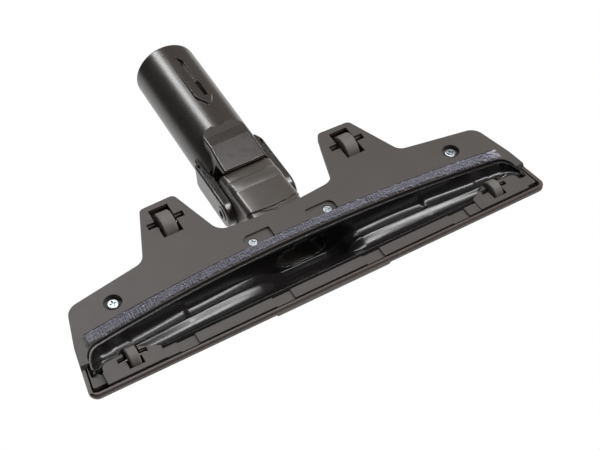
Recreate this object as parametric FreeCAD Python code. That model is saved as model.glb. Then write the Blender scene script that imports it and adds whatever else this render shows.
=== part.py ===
"""Vacuum cleaner floor brush head, modelled piece by piece in millimetres.

The head stands on its four wheels on z = 0, +Z up. X runs along the long side,
-Y is the front edge that meets the dirt first, and the neck leaves towards +Y.
The neck is laid back flat, its lowest position. While the pieces are drawn,
y = 0 is the rear edge of the rear wheel windows; at the end everything shifts
so that the origin is the centre of the bounding box, on the floor.
"""
import FreeCAD, Part
import math
import os

V = FreeCAD.Vector

# Whole head
HEAD_HALF_WIDTH = 140.8
NOSE_Y = -98.2
NOSE_CORNER_RADIUS = 5.0
SOLE_HEIGHT = 3.5
SHELL_WALL = 2.0
SEAM_GAP = 0.3
EMBED = 0.5

# Plan outline of the right half (the left half mirrors it)
SIDE_BEND_INSET = 4.2
SIDE_BEND = (HEAD_HALF_WIDTH - SIDE_BEND_INSET, -66.5, 60.0)
WING_CORNER_INSET = 10.4
WING_CORNER = (HEAD_HALF_WIDTH - WING_CORNER_INSET, -40.6, 8.5)
WING_ROOT = (82.6, -32.1, 7.5)
EAR_OUTER_CORNER = (68.9, 3.4, 3.5)
EAR_INNER_CORNER = (47.4, 4.0, 3.5)
EAR_ROOT = (36.6, -33.2, 8.5)
NECK_BAY_Y = -36.6
NECK_BAY_RADIUS = 60.0

# Sole plate
SOLE_THICKNESS = 2.2
SOLE_FRONT_Y = -95.2
SOLE_SIDE_INSET = 0.4
FRONT_BLOCK_THICKNESS = 4.9
CORNER_RECESS = 2.3
CORNER_RECESS_REAR_Y = -78.0
PAD_MARGIN = 11.2
PAD_OUTER_X = HEAD_HALF_WIDTH - PAD_MARGIN
PAD_LENGTH = 32.6
PAD_INNER_X = PAD_OUTER_X - PAD_LENGTH
PAD_REAR_Y = -81.0
PAD_FLAT_LENGTH = 21.4
PAD_FLAT_INNER_X = PAD_OUTER_X - PAD_FLAT_LENGTH
LIP_REAR_Y = -88.9
LIP_RISE = 0.6
LIP_STEP = 1.0
LIP_STEP_NEAR = (22.3, 33.4)
LIP_STEP_REACH = 18.4
LIP_STEP_GAP = 7.8
LIP_STEP_FAR = (PAD_INNER_X - LIP_STEP_REACH, PAD_INNER_X - LIP_STEP_GAP)
LIP_HEIGHT = 4.3
PAD_FOOT_Y = -86.6
PAD_SLANT = 1.5
PAD_RADII = (3.0, 3.5)
SOLE_CORNER_RADIUS = 4.0
FRONT_BLOCK_OVERHANG = 2.0

# Suction channel
CHANNEL_REAR_Y = -60.6
CHANNEL_REAR_SAG = 10.1
CHANNEL_MARGIN = 9.6
CHANNEL_HALF_WIDTH = HEAD_HALF_WIDTH - CHANNEL_MARGIN
CHANNEL_END_RADIUS = 7.0
RIM_RISE = 0.2
CHANNEL_WALL = 1.6
THROAT_HALF_WIDTH = 20.0
THROAT_DEPTH = 19.5
THROAT_LEAN = 0.2
MOUTH_GAP = 0.1
THROAT_REACH = 5.0
THROAT_TOP_Z = 21.0
CHANNEL_END_ROOM = (4.6, 3.4)
CHANNEL_STATIONS = ((0.762, 6.4, 4.2), (0.587, 7.6, 4.8), (0.564, 9.4, 5.2), (0.343, 12.5, 6.6))
THROAT_SHOULDER = (6.0, 15.2, 9.0)
THROAT_RIDGE = (4.0, 12.0)
CREST_PLACE = 0.52
CREST_HALF = 2.5
REAR_FLUTE_Y = (1.0, 3.5)
REAR_FLUTE_SHARES = (0.75, 1.0, 0.92)
FRONT_FLUTE_Y = 3.0
FRONT_FLUTE_SHARES = (1.1, 0.8, 0.45)

# Lint strip
STRIP_REAR_Y = -52.1
STRIP_REAR_SAG = 8.4
STRIP_FRONT_Y = -57.3
STRIP_FRONT_SAG = 9.5
STRIP_MARGIN = 11.8
STRIP_HALF_LENGTH = HEAD_HALF_WIDTH - STRIP_MARGIN
STRIP_GROOVE_DEPTH = 1.2
STRIP_PILE = 1.5
CARRIER_THICKNESS = 0.8
CARRIER_GAP = 0.15
STRIP_GAP = 0.3

# Screws
OUTER_SCREW_MARGIN = 33.2
OUTER_SCREW = (HEAD_HALF_WIDTH - OUTER_SCREW_MARGIN, -48.8)
OUTER_BORE_DIAMETER = 10.3
OUTER_BORE_DEPTH = 3.2
OUTER_HEAD_DIAMETER = 6.7
INNER_SCREW = (23.8, -49.5)
INNER_HEAD_DIAMETER = 5.4
INNER_BORE_DIAMETER = 5.6
INNER_BORE_DEPTH = 2.6
INNER_POCKET_DEPTH = 1.4
INNER_POCKET_REAR_Y = -44.5
INNER_POCKET_X = (11.5, 28.9)
INNER_POCKET_RADII = (4.0, 1.0)
OUTER_HEAD_HEIGHT = 2.0
INNER_HEAD_HEIGHT = 1.2
SCREW_HOLE_CLEARANCE = 0.3
SCREW_SHANK_DIAMETER = 3.4
SCREW_LENGTH = 10.0
SCREW_CROSS_DEPTH = 1.1
SCREW_CROSS_SHARES = (0.3, 0.07)
SCREW_EDGE_SHARE = 0.45
BOSS_WALL = 1.9

# Wheels and axles
REAR_WHEEL_RADIUS = 9.3
REAR_WHEEL_WIDTH = 8.6
REAR_WHEEL_X = 59.2
REAR_WHEEL_Y = -11.1
REAR_WINDOW_HALF_X = 5.95
REAR_WINDOW_Y = (-22.3, 0.0)
REAR_AXLE_DIAMETER = 3.0
REAR_AXLE_LENGTH = 21.4
REAR_SLOT_WIDTH = 4.2
REAR_SLOT_DEPTH = 1.8
FRONT_WHEEL_RADIUS = 6.5
FRONT_WHEEL_WIDTH = 6.0
FRONT_WHEEL_MARGIN = 17.4
FRONT_WHEEL_X = PAD_OUTER_X - FRONT_WHEEL_MARGIN
FRONT_WHEEL_Y = -85.1
FRONT_WINDOW_HALF_X = 4.25
FRONT_WINDOW_FRONT_Y = -92.2
FRONT_AXLE_DIAMETER = 2.4
FRONT_AXLE_LENGTH = 15.6
FRONT_SLOT_WIDTH = 2.8
FRONT_SLOT_DEPTH = 1.2
WHEEL_BORE_CLEARANCE = 0.08
WHEEL_SHOULDER_RADIUS = 1.2
AXLE_SEAT_CLEARANCE = 0.05
AXLE_THROAT_SHARE = 0.84
CHEEK_THICKNESS = 2.0
SLOT_END_GAP = 0.4
CHEEK_REACH = 4.0
WHEEL_ROOM = 0.5
AXLE_CHAMFER = 0.3

# Top cover
NOSE_RADIUS = 2.7
NOSE_BOTTOM = 4.4
NOSE_TOP = 9.8
COVER_BROW = (-80.0, 21.0)
COVER_HEIGHT = 22.6
COVER_LEAST_RADIUS = 0.6
COVER_LEVELS = ((NOSE_BOTTOM, 0.8, 0.0), (NOSE_BOTTOM + 1.2, 0.0, 0.0), (NOSE_TOP - 2.2, 0.0, 0.0),
                (NOSE_TOP, 0.5, 0.9), (COVER_HEIGHT - 4.6, 2.0, 11.5), (COVER_HEIGHT - 1.4, 3.6, 15.0),
                (COVER_HEIGHT, 6.4, 17.5))
HUMP_BASE_HALF = 36.0
HUMP_TOP_HALF = 23.0
HUMP_HEIGHT = 38.5
HUMP_CORNER_RADIUS = 9.0
HUMP_BREAK = (-62.0, 34.0)
HUMP_BREAK_RADIUS = 30.0
HUMP_BROW_RADIUS = 20.0
HUMP_CLIMB = 2.0
GATE_Y = (-48.0, -18.0)

# Pivot between duct and neck
PIVOT_Y = -6.4
PIVOT_RISE = 20.8
PIVOT_Z = SOLE_HEIGHT + PIVOT_RISE
PIN_DIAMETER = 5.2
PIN_CLEARANCE = 0.05
PIN_RECESS = 1.2
RING_DIAMETER = 9.8
RING_HEIGHT = 0.5
PIN_CHAMFER = 0.5

# Outlet duct
DUCT_HALF_WIDTH = 17.2
DUCT_WALL = 1.8
DUCT_EDGE_RADIUS = 4.0
DUCT_BAY_BOTTOM = (-31.0, 5.85)
DUCT_REAR_RADIUS = 20.5
DUCT_REAR_BOTTOM_Z = 8.8
DUCT_CROWN_RADIUS = 17.5
DUCT_SHOULDER_ANGLE = 145.0
DUCT_BEND_Y = -38.0
DUCT_FRONT_TOP_Z = 27.0
DUCT_STEP_RISE = 1.4
DUCT_STEP_Y = -29.9
DUCT_STEP_SAG = -1.9
DUCT_MOUTH_Y = (-1.0, 1.5)
CRESCENT_WIDTH = 1.2
CRESCENT_HALF = 9.5
OUTLET_DEPTH = 2.0
OUTLET_LIP = 1.4

# Neck: arms, hood and tube
TUBE_AXIS_RISE = 20.0
TUBE_AXIS_Z = SOLE_HEIGHT + TUBE_AXIS_RISE
TUBE_DROOP = 1.2
TUBE_DIAMETER = 41.6
TUBE_LENGTH = 122.0
TUBE_START_Y = 18.0
WAND_DIAMETER = 35.2
WAND_DEPTH = 62.0
PASSAGE_DIAMETER = 32.6
MOUTH_RIM_RADIUS = 1.8
ARM_OUTER_X = 23.2
ARM_HEIGHT = 18.0
ARM_BEND_Y = 28.0
ARM_ROOT = (19.4, 35.8)
ARM_ROOT_RADIUS = 2.0
ARM_TOP_END_Y = 30.5
ARM_EDGE_RADIUS = 1.6
ARM_RECESS_X = (19.0, 22.0)
ARM_RECESS_Y = (6.0, 29.0)
ARM_RECESS_DEPTH = 2.2
HOOD_GAP = 0.5
HOOD_HALF_WIDTH = 20.8
HOOD_RIM = (5.9, 4.1)
HOOD_SIDE_RIM = (18.3, 15.8)
HOOD_FACET_HALF = 13.6
HOOD_FACET_RADIUS = 1.5
HOOD_SHOULDER_Y = 15.5
HOOD_LOW = (25.0, 0.8)
HOOD_BEVEL_Y = 32.5
HOOD_BACK = (41.5, 2.3)
HOOD_BACK_RADIUS = 10.5
HOOD_TOP_RIM_Y = 3.0
HOOD_TOP_END_Y = 31.0
HOOD_EDGE_RADIUS = 8.0
HOOD_CAVITY_Z = (6.0, 42.1)
HOOD_CAVITY_REAR_Y = 15.0
HOOD_CAVITY_EDGE = 4.5
LATCH_ANGLE = -9.5
LATCH_WIDTH = 9.4
LATCH_BASE_WIDTH = 13.5
LATCH_HEIGHT = 1.5
LATCH_NOSE = 10.0
LATCH_TIP = 58.0
LATCH_BASE_TIP = 53.5
LATCH_FADE = 110.0
LATCH_SLOT = (67.0, 109.0)
LATCH_SLOT_WIDTH = 3.2
LATCH_SLOT_ANGLE = -13.4
LATCH_SLOT_POINT = (9.6, 6.4)
LATCH_HOLE_END = 84.0
LATCH_FLOOR = 0.9

# Planes that several pieces share
SOLE_TOP = SOLE_HEIGHT + SOLE_THICKNESS
REAR_AXLE_Z = REAR_WHEEL_RADIUS
FRONT_AXLE_Z = FRONT_WHEEL_RADIUS
OUTER_CUP_TOP = SOLE_HEIGHT + OUTER_BORE_DEPTH + SHELL_WALL
INNER_CUP_TOP = SOLE_HEIGHT + INNER_BORE_DEPTH + CHANNEL_WALL
CHANNEL_FRONT_Y = LIP_REAR_Y + CHANNEL_WALL + MOUTH_GAP
DUCT_FRONT_Y = CHANNEL_REAR_Y + CHANNEL_WALL - THROAT_LEAN
ROOM = 200.0


def rounded_corner(before, corner, after, radius):
    """Tangent points and mid point of the arc that rounds one corner."""
    back = (before - corner).normalize()
    ahead = (after - corner).normalize()
    half = math.acos(max(-1.0, min(1.0, back.dot(ahead)))) / 2
    reach = radius / math.tan(half)
    centre = corner + (back + ahead).normalize() * (radius / math.sin(half))
    middle = centre + (corner - centre).normalize() * radius
    return corner + back * reach, middle, corner + ahead * reach


def rounded_wire(corners):
    """Closed wire through (vector, radius) corners with its corners rounded."""
    count = len(corners)
    stops = []
    for i, (corner, radius) in enumerate(corners):
        if radius > 0:
            before = corners[i - 1][0]
            after = corners[(i + 1) % count][0]
            stops.append(rounded_corner(before, corner, after, radius))
        else:
            stops.append((corner, None, corner))
    edges = []
    for i, (start, middle, end) in enumerate(stops):
        if middle is not None:
            edges.append(Part.Arc(start, middle, end).toShape())
        following = stops[(i + 1) % count][0]
        if (following - end).Length > 1e-6:
            edges.append(Part.LineSegment(end, following).toShape())
    return Part.Wire(edges)


def prism(wire, direction):
    """Solid swept from a closed flat wire along a straight direction."""
    return Part.Face(wire).extrude(direction)


def plan_prism(corners, low, high):
    """Vertical prism over (x, y, radius) corners."""
    wire = rounded_wire([(V(x, y, low), r) for x, y, r in corners])
    return prism(wire, V(0, 0, high - low))


def side_prism(corners, half_width, x=0.0):
    """Prism along X over (y, z, radius) corners, centred on x."""
    wire = rounded_wire([(V(x - half_width, y, z), r) for y, z, r in corners])
    return prism(wire, V(2 * half_width, 0, 0))


def front_prism(corners, near, far):
    """Prism along Y over (x, z, radius) corners."""
    wire = rounded_wire([(V(x, near, z), r) for x, z, r in corners])
    return prism(wire, V(0, far - near, 0))


def block(x_range, y_range, z_range):
    """Axis-aligned box from three (low, high) ranges."""
    size = [high - low for low, high in (x_range, y_range, z_range)]
    return Part.makeBox(*size, V(x_range[0], y_range[0], z_range[0]))


def rod(diameter, start, direction, length):
    """Cylinder from a start point along a direction."""
    return Part.makeCylinder(diameter / 2, length, start, direction)


def mirrored(shape):
    """The same shape on the other side of the middle plane."""
    return shape.mirror(V(0, 0, 0), V(1, 0, 0))


def both_sides(shape):
    """A shape and its mirror image as one."""
    return shape.fuse(mirrored(shape))


def head_corners(front_y, half_width, front_radius):
    """Plan outline of the head, counter-clockwise from the front right corner."""
    right = [(half_width, front_y, front_radius), SIDE_BEND, WING_CORNER, WING_ROOT,
             EAR_OUTER_CORNER, EAR_INNER_CORNER, EAR_ROOT]
    left = [(-x, y, r) for x, y, r in reversed(right)]
    return right + [(0.0, NECK_BAY_Y, NECK_BAY_RADIUS)] + left


def bowed_edge(middle_y, sag, half_width, z):
    """Arc across the head, its ends further forward than its middle by sag."""
    ends = [V(sign * half_width, middle_y - sag, z) for sign in (1, -1)]
    return Part.Arc(ends[0], V(0, middle_y, z), ends[1])


def band(rear, front, half_length, low, high):
    """Curved band between two bowed edges, each given as (middle y, sag)."""
    back = bowed_edge(*rear, half_length, low).toShape()
    fore = bowed_edge(*front, half_length, low).toShape()
    ends = [Part.LineSegment(back.Vertexes[i].Point, fore.Vertexes[i].Point).toShape()
            for i in (0, 1)]
    wire = Part.Wire(Part.__sortEdges__([back, fore] + ends))
    return prism(wire, V(0, 0, high - low))


def channel_plan(grow, low, high):
    """Plan of the suction mouth as a prism, grown outwards by a wall."""
    front_y = CHANNEL_FRONT_Y
    half = CHANNEL_HALF_WIDTH + grow
    rear_y = CHANNEL_REAR_Y + grow
    back = bowed_edge(rear_y, CHANNEL_REAR_SAG, half, low).toShape()
    right, left = (back.Vertexes[i].Point for i in (0, 1))
    corners = [V(half, front_y - grow, low), V(-half, front_y - grow, low)]
    edges = [back]
    for start, end in ((right, corners[0]), (corners[0], corners[1]), (corners[1], left)):
        edges.append(Part.LineSegment(start, end).toShape())
    body = prism(Part.Wire(Part.__sortEdges__(edges)), V(0, 0, high - low))
    ends = [e for e in body.Edges
            if abs(e.tangentAt(e.FirstParameter).z) > 0.99]
    return body.makeFillet(CHANNEL_END_RADIUS + grow, ends)


def channel_section(x, depth, ridge, grow):
    """Section of the channel roof at x: deep rear flute, ridge, shallow front flute."""
    rear_y = CHANNEL_REAR_Y - CHANNEL_REAR_SAG * (x / CHANNEL_HALF_WIDTH) ** 2 + grow
    front_y = CHANNEL_FRONT_Y - grow
    base = SOLE_HEIGHT
    crest_y = rear_y + (front_y - rear_y) * CREST_PLACE
    wall_y, roof_y = REAR_FLUTE_Y
    wall_share, roof_share, crest_share = REAR_FLUTE_SHARES
    near_share, far_share, rim_share = FRONT_FLUTE_SHARES
    points = [
        (rear_y, base - 1), (rear_y - wall_y, base + depth * wall_share + grow),
        (rear_y - roof_y, base + depth * roof_share + grow),
        (crest_y + CREST_HALF, base + depth * crest_share + grow), (crest_y, base + ridge + grow),
        (crest_y - CREST_HALF, base + ridge * near_share + grow),
        (front_y + FRONT_FLUTE_Y, base + ridge * far_share + grow),
        (front_y, base + ridge * rim_share + grow), (front_y, base - 1),
    ]
    return Part.makePolygon([V(x, y, z) for y, z in points + points[:1]])


def channel_roof(grow):
    """Solid of the room under the channel roof, or of its outside when grown."""
    half = CHANNEL_HALF_WIDTH
    shoulder_reach, shoulder_depth, shoulder_ridge = THROAT_SHOULDER
    ridge_inset, ridge_depth = THROAT_RIDGE
    stations = [(half + grow, *CHANNEL_END_ROOM)]
    stations += [(half * share, depth, ridge) for share, depth, ridge in CHANNEL_STATIONS]
    stations += [(THROAT_HALF_WIDTH + shoulder_reach, shoulder_depth, shoulder_ridge),
                 (THROAT_HALF_WIDTH - ridge_inset, THROAT_DEPTH, ridge_depth)]
    full = stations + [(-x, d, r) for x, d, r in reversed(stations)]
    wires = [channel_section(x, d, r, grow) for x, d, r in full]
    return Part.makeLoft(wires, True, True)


def barrel(radius, half, edge):
    """Drum about the pivot axis with rounded shoulders."""
    corners = [(V(-half, PIVOT_Y, PIVOT_Z), 0), (V(half, PIVOT_Y, PIVOT_Z), 0),
               (V(half, PIVOT_Y, PIVOT_Z + radius), edge), (V(-half, PIVOT_Y, PIVOT_Z + radius), edge)]
    face = Part.Face(rounded_wire(corners))
    return face.revolve(V(0, PIVOT_Y, PIVOT_Z), V(1, 0, 0), 360)


def box_section(y, half, low, high, radius):
    """Rounded rectangle across the duct or the hood at one y."""
    corners = [(-half, low), (half, low), (half, high), (-half, high)]
    return rounded_wire([(V(x, y, z), radius) for x, z in corners])


def duct_body(inset):
    """Duct: a drum about the pivot and a flat-bottomed box running to the throat."""
    half = DUCT_HALF_WIDTH - inset
    edge = DUCT_EDGE_RADIUS - inset / 2
    turn = math.radians(DUCT_SHOULDER_ANGLE)
    top = PIVOT_Z + DUCT_CROWN_RADIUS * math.sin(turn) - inset
    bay_y, bay_z = DUCT_BAY_BOTTOM
    rear_y = PIVOT_Y + DUCT_REAR_RADIUS
    rear_z = DUCT_REAR_BOTTOM_Z + inset
    front_z = bay_z + DUCT_STEP_RISE + inset
    drum = barrel(DUCT_CROWN_RADIUS - inset, half, edge)
    heel = Part.makeLoft([box_section(bay_y, half, bay_z + inset, top, edge),
                          box_section(rear_y, half, rear_z, top, edge)], True, True)
    behind = barrel(DUCT_REAR_RADIUS - inset, half, edge)
    ahead = band((PIVOT_Y, DUCT_STEP_SAG), (DUCT_STEP_Y + inset, DUCT_STEP_SAG), DUCT_HALF_WIDTH, 0, ROOM)
    heel = heel.common(behind.fuse(ahead))
    stem = Part.makeLoft([box_section(PIVOT_Y, half, front_z, top, edge),
                          box_section(DUCT_BEND_Y, half, front_z, top, edge)], True, True)
    nose = Part.makeLoft([box_section(DUCT_BEND_Y, half, front_z, top, edge),
                          box_section(DUCT_FRONT_Y, half, front_z, DUCT_FRONT_TOP_Z - inset, edge)],
                         True, True)
    return drum.fuse([heel, stem, nose])


def crescent():
    """Raised crescent on the duct's underside, just ahead of its step."""
    fore = (DUCT_STEP_Y - 2 * CRESCENT_WIDTH, DUCT_STEP_SAG - CRESCENT_WIDTH)
    low = DUCT_BAY_BOTTOM[1] + DUCT_STEP_RISE / 2
    return band((DUCT_STEP_Y - CRESCENT_WIDTH, DUCT_STEP_SAG), fore, CRESCENT_HALF,
                low, low + DUCT_STEP_RISE)


def outlet_duct():
    """Hollow duct from the throat to the drum end that the neck turns on."""
    body = duct_body(0.0).fuse(crescent()).cut(duct_body(DUCT_WALL))
    bay_z = DUCT_BAY_BOTTOM[1] + DUCT_STEP_RISE
    opening = DUCT_HALF_WIDTH - DUCT_WALL
    crown = PIVOT_Z + DUCT_CROWN_RADIUS - DUCT_WALL
    mouth_near, mouth_far = DUCT_MOUTH_Y
    mouth = Part.Face(box_section(DUCT_FRONT_Y + mouth_near, opening, bay_z + DUCT_WALL,
                                  DUCT_FRONT_TOP_Z - DUCT_WALL, DUCT_EDGE_RADIUS - DUCT_WALL / 2))
    outlet = Part.Face(box_section(PIVOT_Y + OUTLET_DEPTH, opening - OUTLET_LIP,
                                   DUCT_REAR_BOTTOM_Z + DUCT_WALL + OUTLET_LIP, crown - OUTLET_LIP,
                                   DUCT_EDGE_RADIUS))
    body = body.cut(mouth.extrude(V(0, mouth_far - mouth_near, 0)))
    body = body.cut(outlet.extrude(V(0, DUCT_REAR_RADIUS, 0)))
    return body.cut(rod(PIN_DIAMETER, V(-ROOM, PIVOT_Y, PIVOT_Z), V(1, 0, 0), 2 * ROOM))


def pivot_pin():
    """Pin pressed into the duct's right side; the arm of the neck turns on it."""
    inner = DUCT_HALF_WIDTH - DUCT_WALL
    outer = ARM_OUTER_X - PIN_RECESS
    pin = rod(PIN_DIAMETER, V(inner, PIVOT_Y, PIVOT_Z), V(1, 0, 0), outer - inner)
    rim = [e for e in pin.Edges if abs(e.CenterOfMass.x - outer) < 1e-6]
    return pin.makeChamfer(PIN_CHAMFER, rim)


def neck():
    """Tube, hood and fork arms moulded in one piece."""
    along = V(0, 1, 0)
    hub = V(0, 0, TUBE_AXIS_Z)
    tube = rod(TUBE_DIAMETER, V(0, TUBE_START_Y, TUBE_AXIS_Z), along, TUBE_LENGTH - TUBE_START_Y)
    rim = [e for e in tube.Edges if abs(e.CenterOfMass.y - TUBE_LENGTH) < 1e-6]
    tube = tube.makeFillet(MOUTH_RIM_RADIUS, rim)
    tube = tube.fuse(latch_bar())
    tube.rotate(hub, V(1, 0, 0), -TUBE_DROOP)
    body = tube.fuse([hood(), both_sides(arm())])
    socket = rod(WAND_DIAMETER, V(0, TUBE_LENGTH - WAND_DEPTH, TUBE_AXIS_Z), along, ROOM)
    passage = rod(PASSAGE_DIAMETER, V(0, 0, TUBE_AXIS_Z), along, ROOM)
    slot = latch_slot()
    hollow = socket.fuse([passage, slot])
    hollow.rotate(hub, V(1, 0, 0), -TUBE_DROOP)
    cavity_low, cavity_high = HOOD_CAVITY_Z
    cavity_half = DUCT_HALF_WIDTH + HOOD_GAP
    cavity = Part.Face(box_section(-ROOM / 2, cavity_half, cavity_low, cavity_high, HOOD_CAVITY_EDGE))
    cavity = cavity.extrude(V(0, ROOM / 2 + HOOD_CAVITY_REAR_Y, 0))
    pin_hole = rod(PIN_DIAMETER + 2 * PIN_CLEARANCE, V(-ROOM, PIVOT_Y, PIVOT_Z), V(1, 0, 0), 2 * ROOM)
    return body.cut(hollow).cut(cavity).cut(pin_hole)


def facet_section(y, low, shoulder):
    """Section of the hood's underside at one y: flat facet, sloping sides, open upwards."""
    top_half = min(HOOD_HALF_WIDTH, shoulder + ARM_EDGE_RADIUS)
    half = HOOD_FACET_HALF
    right = [(half, low, HOOD_FACET_RADIUS), (shoulder, HOOD_SIDE_RIM[1], 0), (top_half, TUBE_AXIS_Z, 0)]
    corners = right + [(-x, z, r) for x, z, r in reversed(right)]
    return rounded_wire([(V(x, y, z), r) for x, z, r in corners])


def upper_section(y, radius):
    """Section of the hood's upper half at one y, its top corners rounded by a radius."""
    half = HOOD_HALF_WIDTH
    low = PIVOT_Z - ARM_HEIGHT / 2
    top = TUBE_AXIS_Z + TUBE_DIAMETER / 2
    corners = [(-half, low, 0), (half, low, 0), (half, top, radius), (-half, top, radius)]
    return rounded_wire([(V(x, y, z), r) for x, z, r in corners])


def hood():
    """Cuff round the drum: flat tongue below that ends round, boxy top that fades into the tube."""
    shoulder = HOOD_SIDE_RIM[0]
    narrow = HOOD_FACET_HALF + SEAM_GAP
    low_y, low_z = HOOD_LOW
    back_y, back_z = HOOD_BACK
    rim_y, rim_z = HOOD_RIM
    slope = (low_z - rim_z) / (low_y - rim_y)
    bend_z = rim_z + slope * (HOOD_SHOULDER_Y - rim_y)
    stations = [(rim_y, rim_z, shoulder), (HOOD_SHOULDER_Y, bend_z, shoulder), (low_y, low_z, narrow),
                (HOOD_BEVEL_Y, low_z, narrow), (back_y, back_z, narrow)]
    under = Part.makeLoft([facet_section(*station) for station in stations], True, True)
    end = [(-ROOM, -ROOM, 0), (ROOM, -ROOM, 0), (ROOM, low_y, 0), (HOOD_FACET_HALF, low_y, 0),
           (HOOD_FACET_HALF, back_y, HOOD_BACK_RADIUS), (-HOOD_FACET_HALF, back_y, HOOD_BACK_RADIUS),
           (-HOOD_FACET_HALF, low_y, 0), (-ROOM, low_y, 0)]
    under = under.common(plan_prism(end, 0.0, TUBE_AXIS_Z))
    full = HOOD_HALF_WIDTH - SEAM_GAP / 10
    upper = Part.makeLoft([upper_section(HOOD_TOP_RIM_Y, HOOD_EDGE_RADIUS),
                           upper_section(HOOD_SHOULDER_Y, HOOD_EDGE_RADIUS),
                           upper_section(HOOD_TOP_END_Y, full)], True, True)
    return under.fuse(upper)


def arm():
    """Right fork arm: slab with a round end, a sloping shoulder, a recess below and a ring boss."""
    inner = DUCT_HALF_WIDTH + HOOD_GAP
    half = ARM_HEIGHT / 2
    low, high = PIVOT_Z - half, PIVOT_Z + half
    width = ARM_OUTER_X - inner
    root_x, root_y = ARM_ROOT
    end = half - SEAM_GAP / 10
    outline = [(PIVOT_Y - half, low, end), (root_y, low, ARM_ROOT_RADIUS), (ARM_TOP_END_Y, high, half),
               (PIVOT_Y - half, high, end)]
    slab = side_prism(outline, width / 2, inner + width / 2)
    rim = [e for e in slab.Edges if abs(e.CenterOfMass.x - ARM_OUTER_X) < 1e-6]
    slab = slab.makeFillet(ARM_EDGE_RADIUS, rim)
    plan = [(inner, -ROOM, 0), (ROOM, -ROOM, 0), (ROOM, ARM_BEND_Y, 0), (ARM_OUTER_X, ARM_BEND_Y, 0),
            (root_x, root_y, 0), (inner, root_y, 0)]
    slab = slab.common(plan_prism(plan, 0.0, ROOM))
    ring = rod(RING_DIAMETER, V(ARM_OUTER_X, PIVOT_Y, PIVOT_Z), V(1, 0, 0), RING_HEIGHT)
    recess = block(ARM_RECESS_X, ARM_RECESS_Y, (low - 1, low + ARM_RECESS_DEPTH))
    return slab.fuse(ring).cut(recess)


def latch_outline(width, tip, z):
    """Pointed outline of the latch bar at one height."""
    half = width / 2
    widest = tip + LATCH_NOSE
    corners = [(-half, LATCH_FADE, 0), (-half, widest, width), (0.0, tip, width / 5),
               (half, widest, width), (half, LATCH_FADE, 0)]
    return rounded_wire([(V(x, y, z), r) for x, y, r in corners])


def latch_bar():
    """Raised bar under the tube, flush near the mouth and highest near the hood."""
    radius = TUBE_DIAMETER / 2
    high = radius + LATCH_HEIGHT
    hub = V(0, LATCH_BASE_TIP, TUBE_AXIS_Z)
    rise = Part.makeCone(high, radius, LATCH_FADE - LATCH_BASE_TIP, hub, V(0, 1, 0))
    base_z = TUBE_AXIS_Z - radius + 2 * LATCH_HEIGHT
    wedge = Part.makeLoft([latch_outline(LATCH_BASE_WIDTH, LATCH_BASE_TIP, base_z),
                           latch_outline(LATCH_WIDTH, LATCH_TIP, TUBE_AXIS_Z - high)], True, True)
    body = rise.common(wedge)
    body.rotate(V(0, 0, TUBE_AXIS_Z), V(0, 1, 0), -LATCH_ANGLE)
    return body


def latch_slot():
    """Groove in the bar, pointed towards the mouth; its inner part goes through the wall."""
    near, far = LATCH_SLOT
    half = LATCH_SLOT_WIDTH / 2
    long_point, short_point = LATCH_SLOT_POINT
    plan = [(-half, near, 0), (half, near, 0), (half, far - long_point, 0), (half, far, 0),
            (-half, far - short_point, 0)]
    groove = plan_prism(plan, TUBE_AXIS_Z - ROOM, TUBE_AXIS_Z - WAND_DIAMETER / 2 - LATCH_FLOOR)
    hole = block((-half, half), (near, LATCH_HOLE_END), (TUBE_AXIS_Z - ROOM, TUBE_AXIS_Z - WAND_DIAMETER / 4))
    cut = groove.fuse(hole)
    cut.rotate(V(0, 0, TUBE_AXIS_Z), V(0, 1, 0), -LATCH_SLOT_ANGLE)
    return cut


def wheel(radius, width, bore, x, y, z):
    """Solid wheel with rounded shoulders and a hub bore, centred on its axle."""
    half = width / 2
    inner = bore / 2
    corners = [(V(x - half, y, z + inner), 0), (V(x + half, y, z + inner), 0),
               (V(x + half, y, z + radius), WHEEL_SHOULDER_RADIUS),
               (V(x - half, y, z + radius), WHEEL_SHOULDER_RADIUS)]
    return Part.Face(rounded_wire(corners)).revolve(V(x, y, z), V(1, 0, 0), 360)


def axle(diameter, length, x, y, z):
    """Metal axle with chamfered ends."""
    pin = rod(diameter, V(x - length / 2, y, z), V(1, 0, 0), length)
    return pin.makeChamfer(AXLE_CHAMFER, [e for e in pin.Edges if len(e.Vertexes) == 1])


def cheeks(x, y, axle_z, diameter, length, window_half, base, reach):
    """Pair of axle cradles beside a wheel window, with the slots that take the axle."""
    outer = length / 2 + SLOT_END_GAP
    top = axle_z + diameter / 2 + CHEEK_THICKNESS
    both = block((x - outer, x - window_half), (y - reach, y + reach), (base, top))
    return both.fuse(block((x + window_half, x + outer), (y - reach, y + reach), (base, top)))


def axle_slot(x, y, axle_z, diameter, length, slot_width, throat_z):
    """Room for an axle pushed in from below: wide lead-in, snap throat and round seat."""
    half = length / 2 + SLOT_END_GAP
    seat = diameter + 2 * AXLE_SEAT_CLEARANCE
    wide = block((x - half, x + half), (y - slot_width / 2, y + slot_width / 2), (-1, throat_z))
    snap = diameter * AXLE_THROAT_SHARE / 2
    throat = block((x - half, x + half), (y - snap, y + snap), (-1, axle_z))
    return wide.fuse([throat, rod(seat, V(x - half, y, axle_z), V(1, 0, 0), 2 * half)])


def inset_prism(corners, inset, low, high):
    """Vertical prism over an outline moved inwards by a distance."""
    wire = rounded_wire([(V(x, y, low), r) for x, y, r in corners])
    return prism(wire.makeOffset2D(-inset), V(0, 0, high - low))


def sole_outline():
    """Corners of the sole plate: the head's outline, short of the nose."""
    return head_corners(SOLE_FRONT_Y, HEAD_HALF_WIDTH - SOLE_SIDE_INSET, SOLE_CORNER_RADIUS)


def cover_outline():
    """Corners of the cover: the head's outline with the nose."""
    return head_corners(NOSE_Y, HEAD_HALF_WIDTH, NOSE_CORNER_RADIUS)


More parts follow.
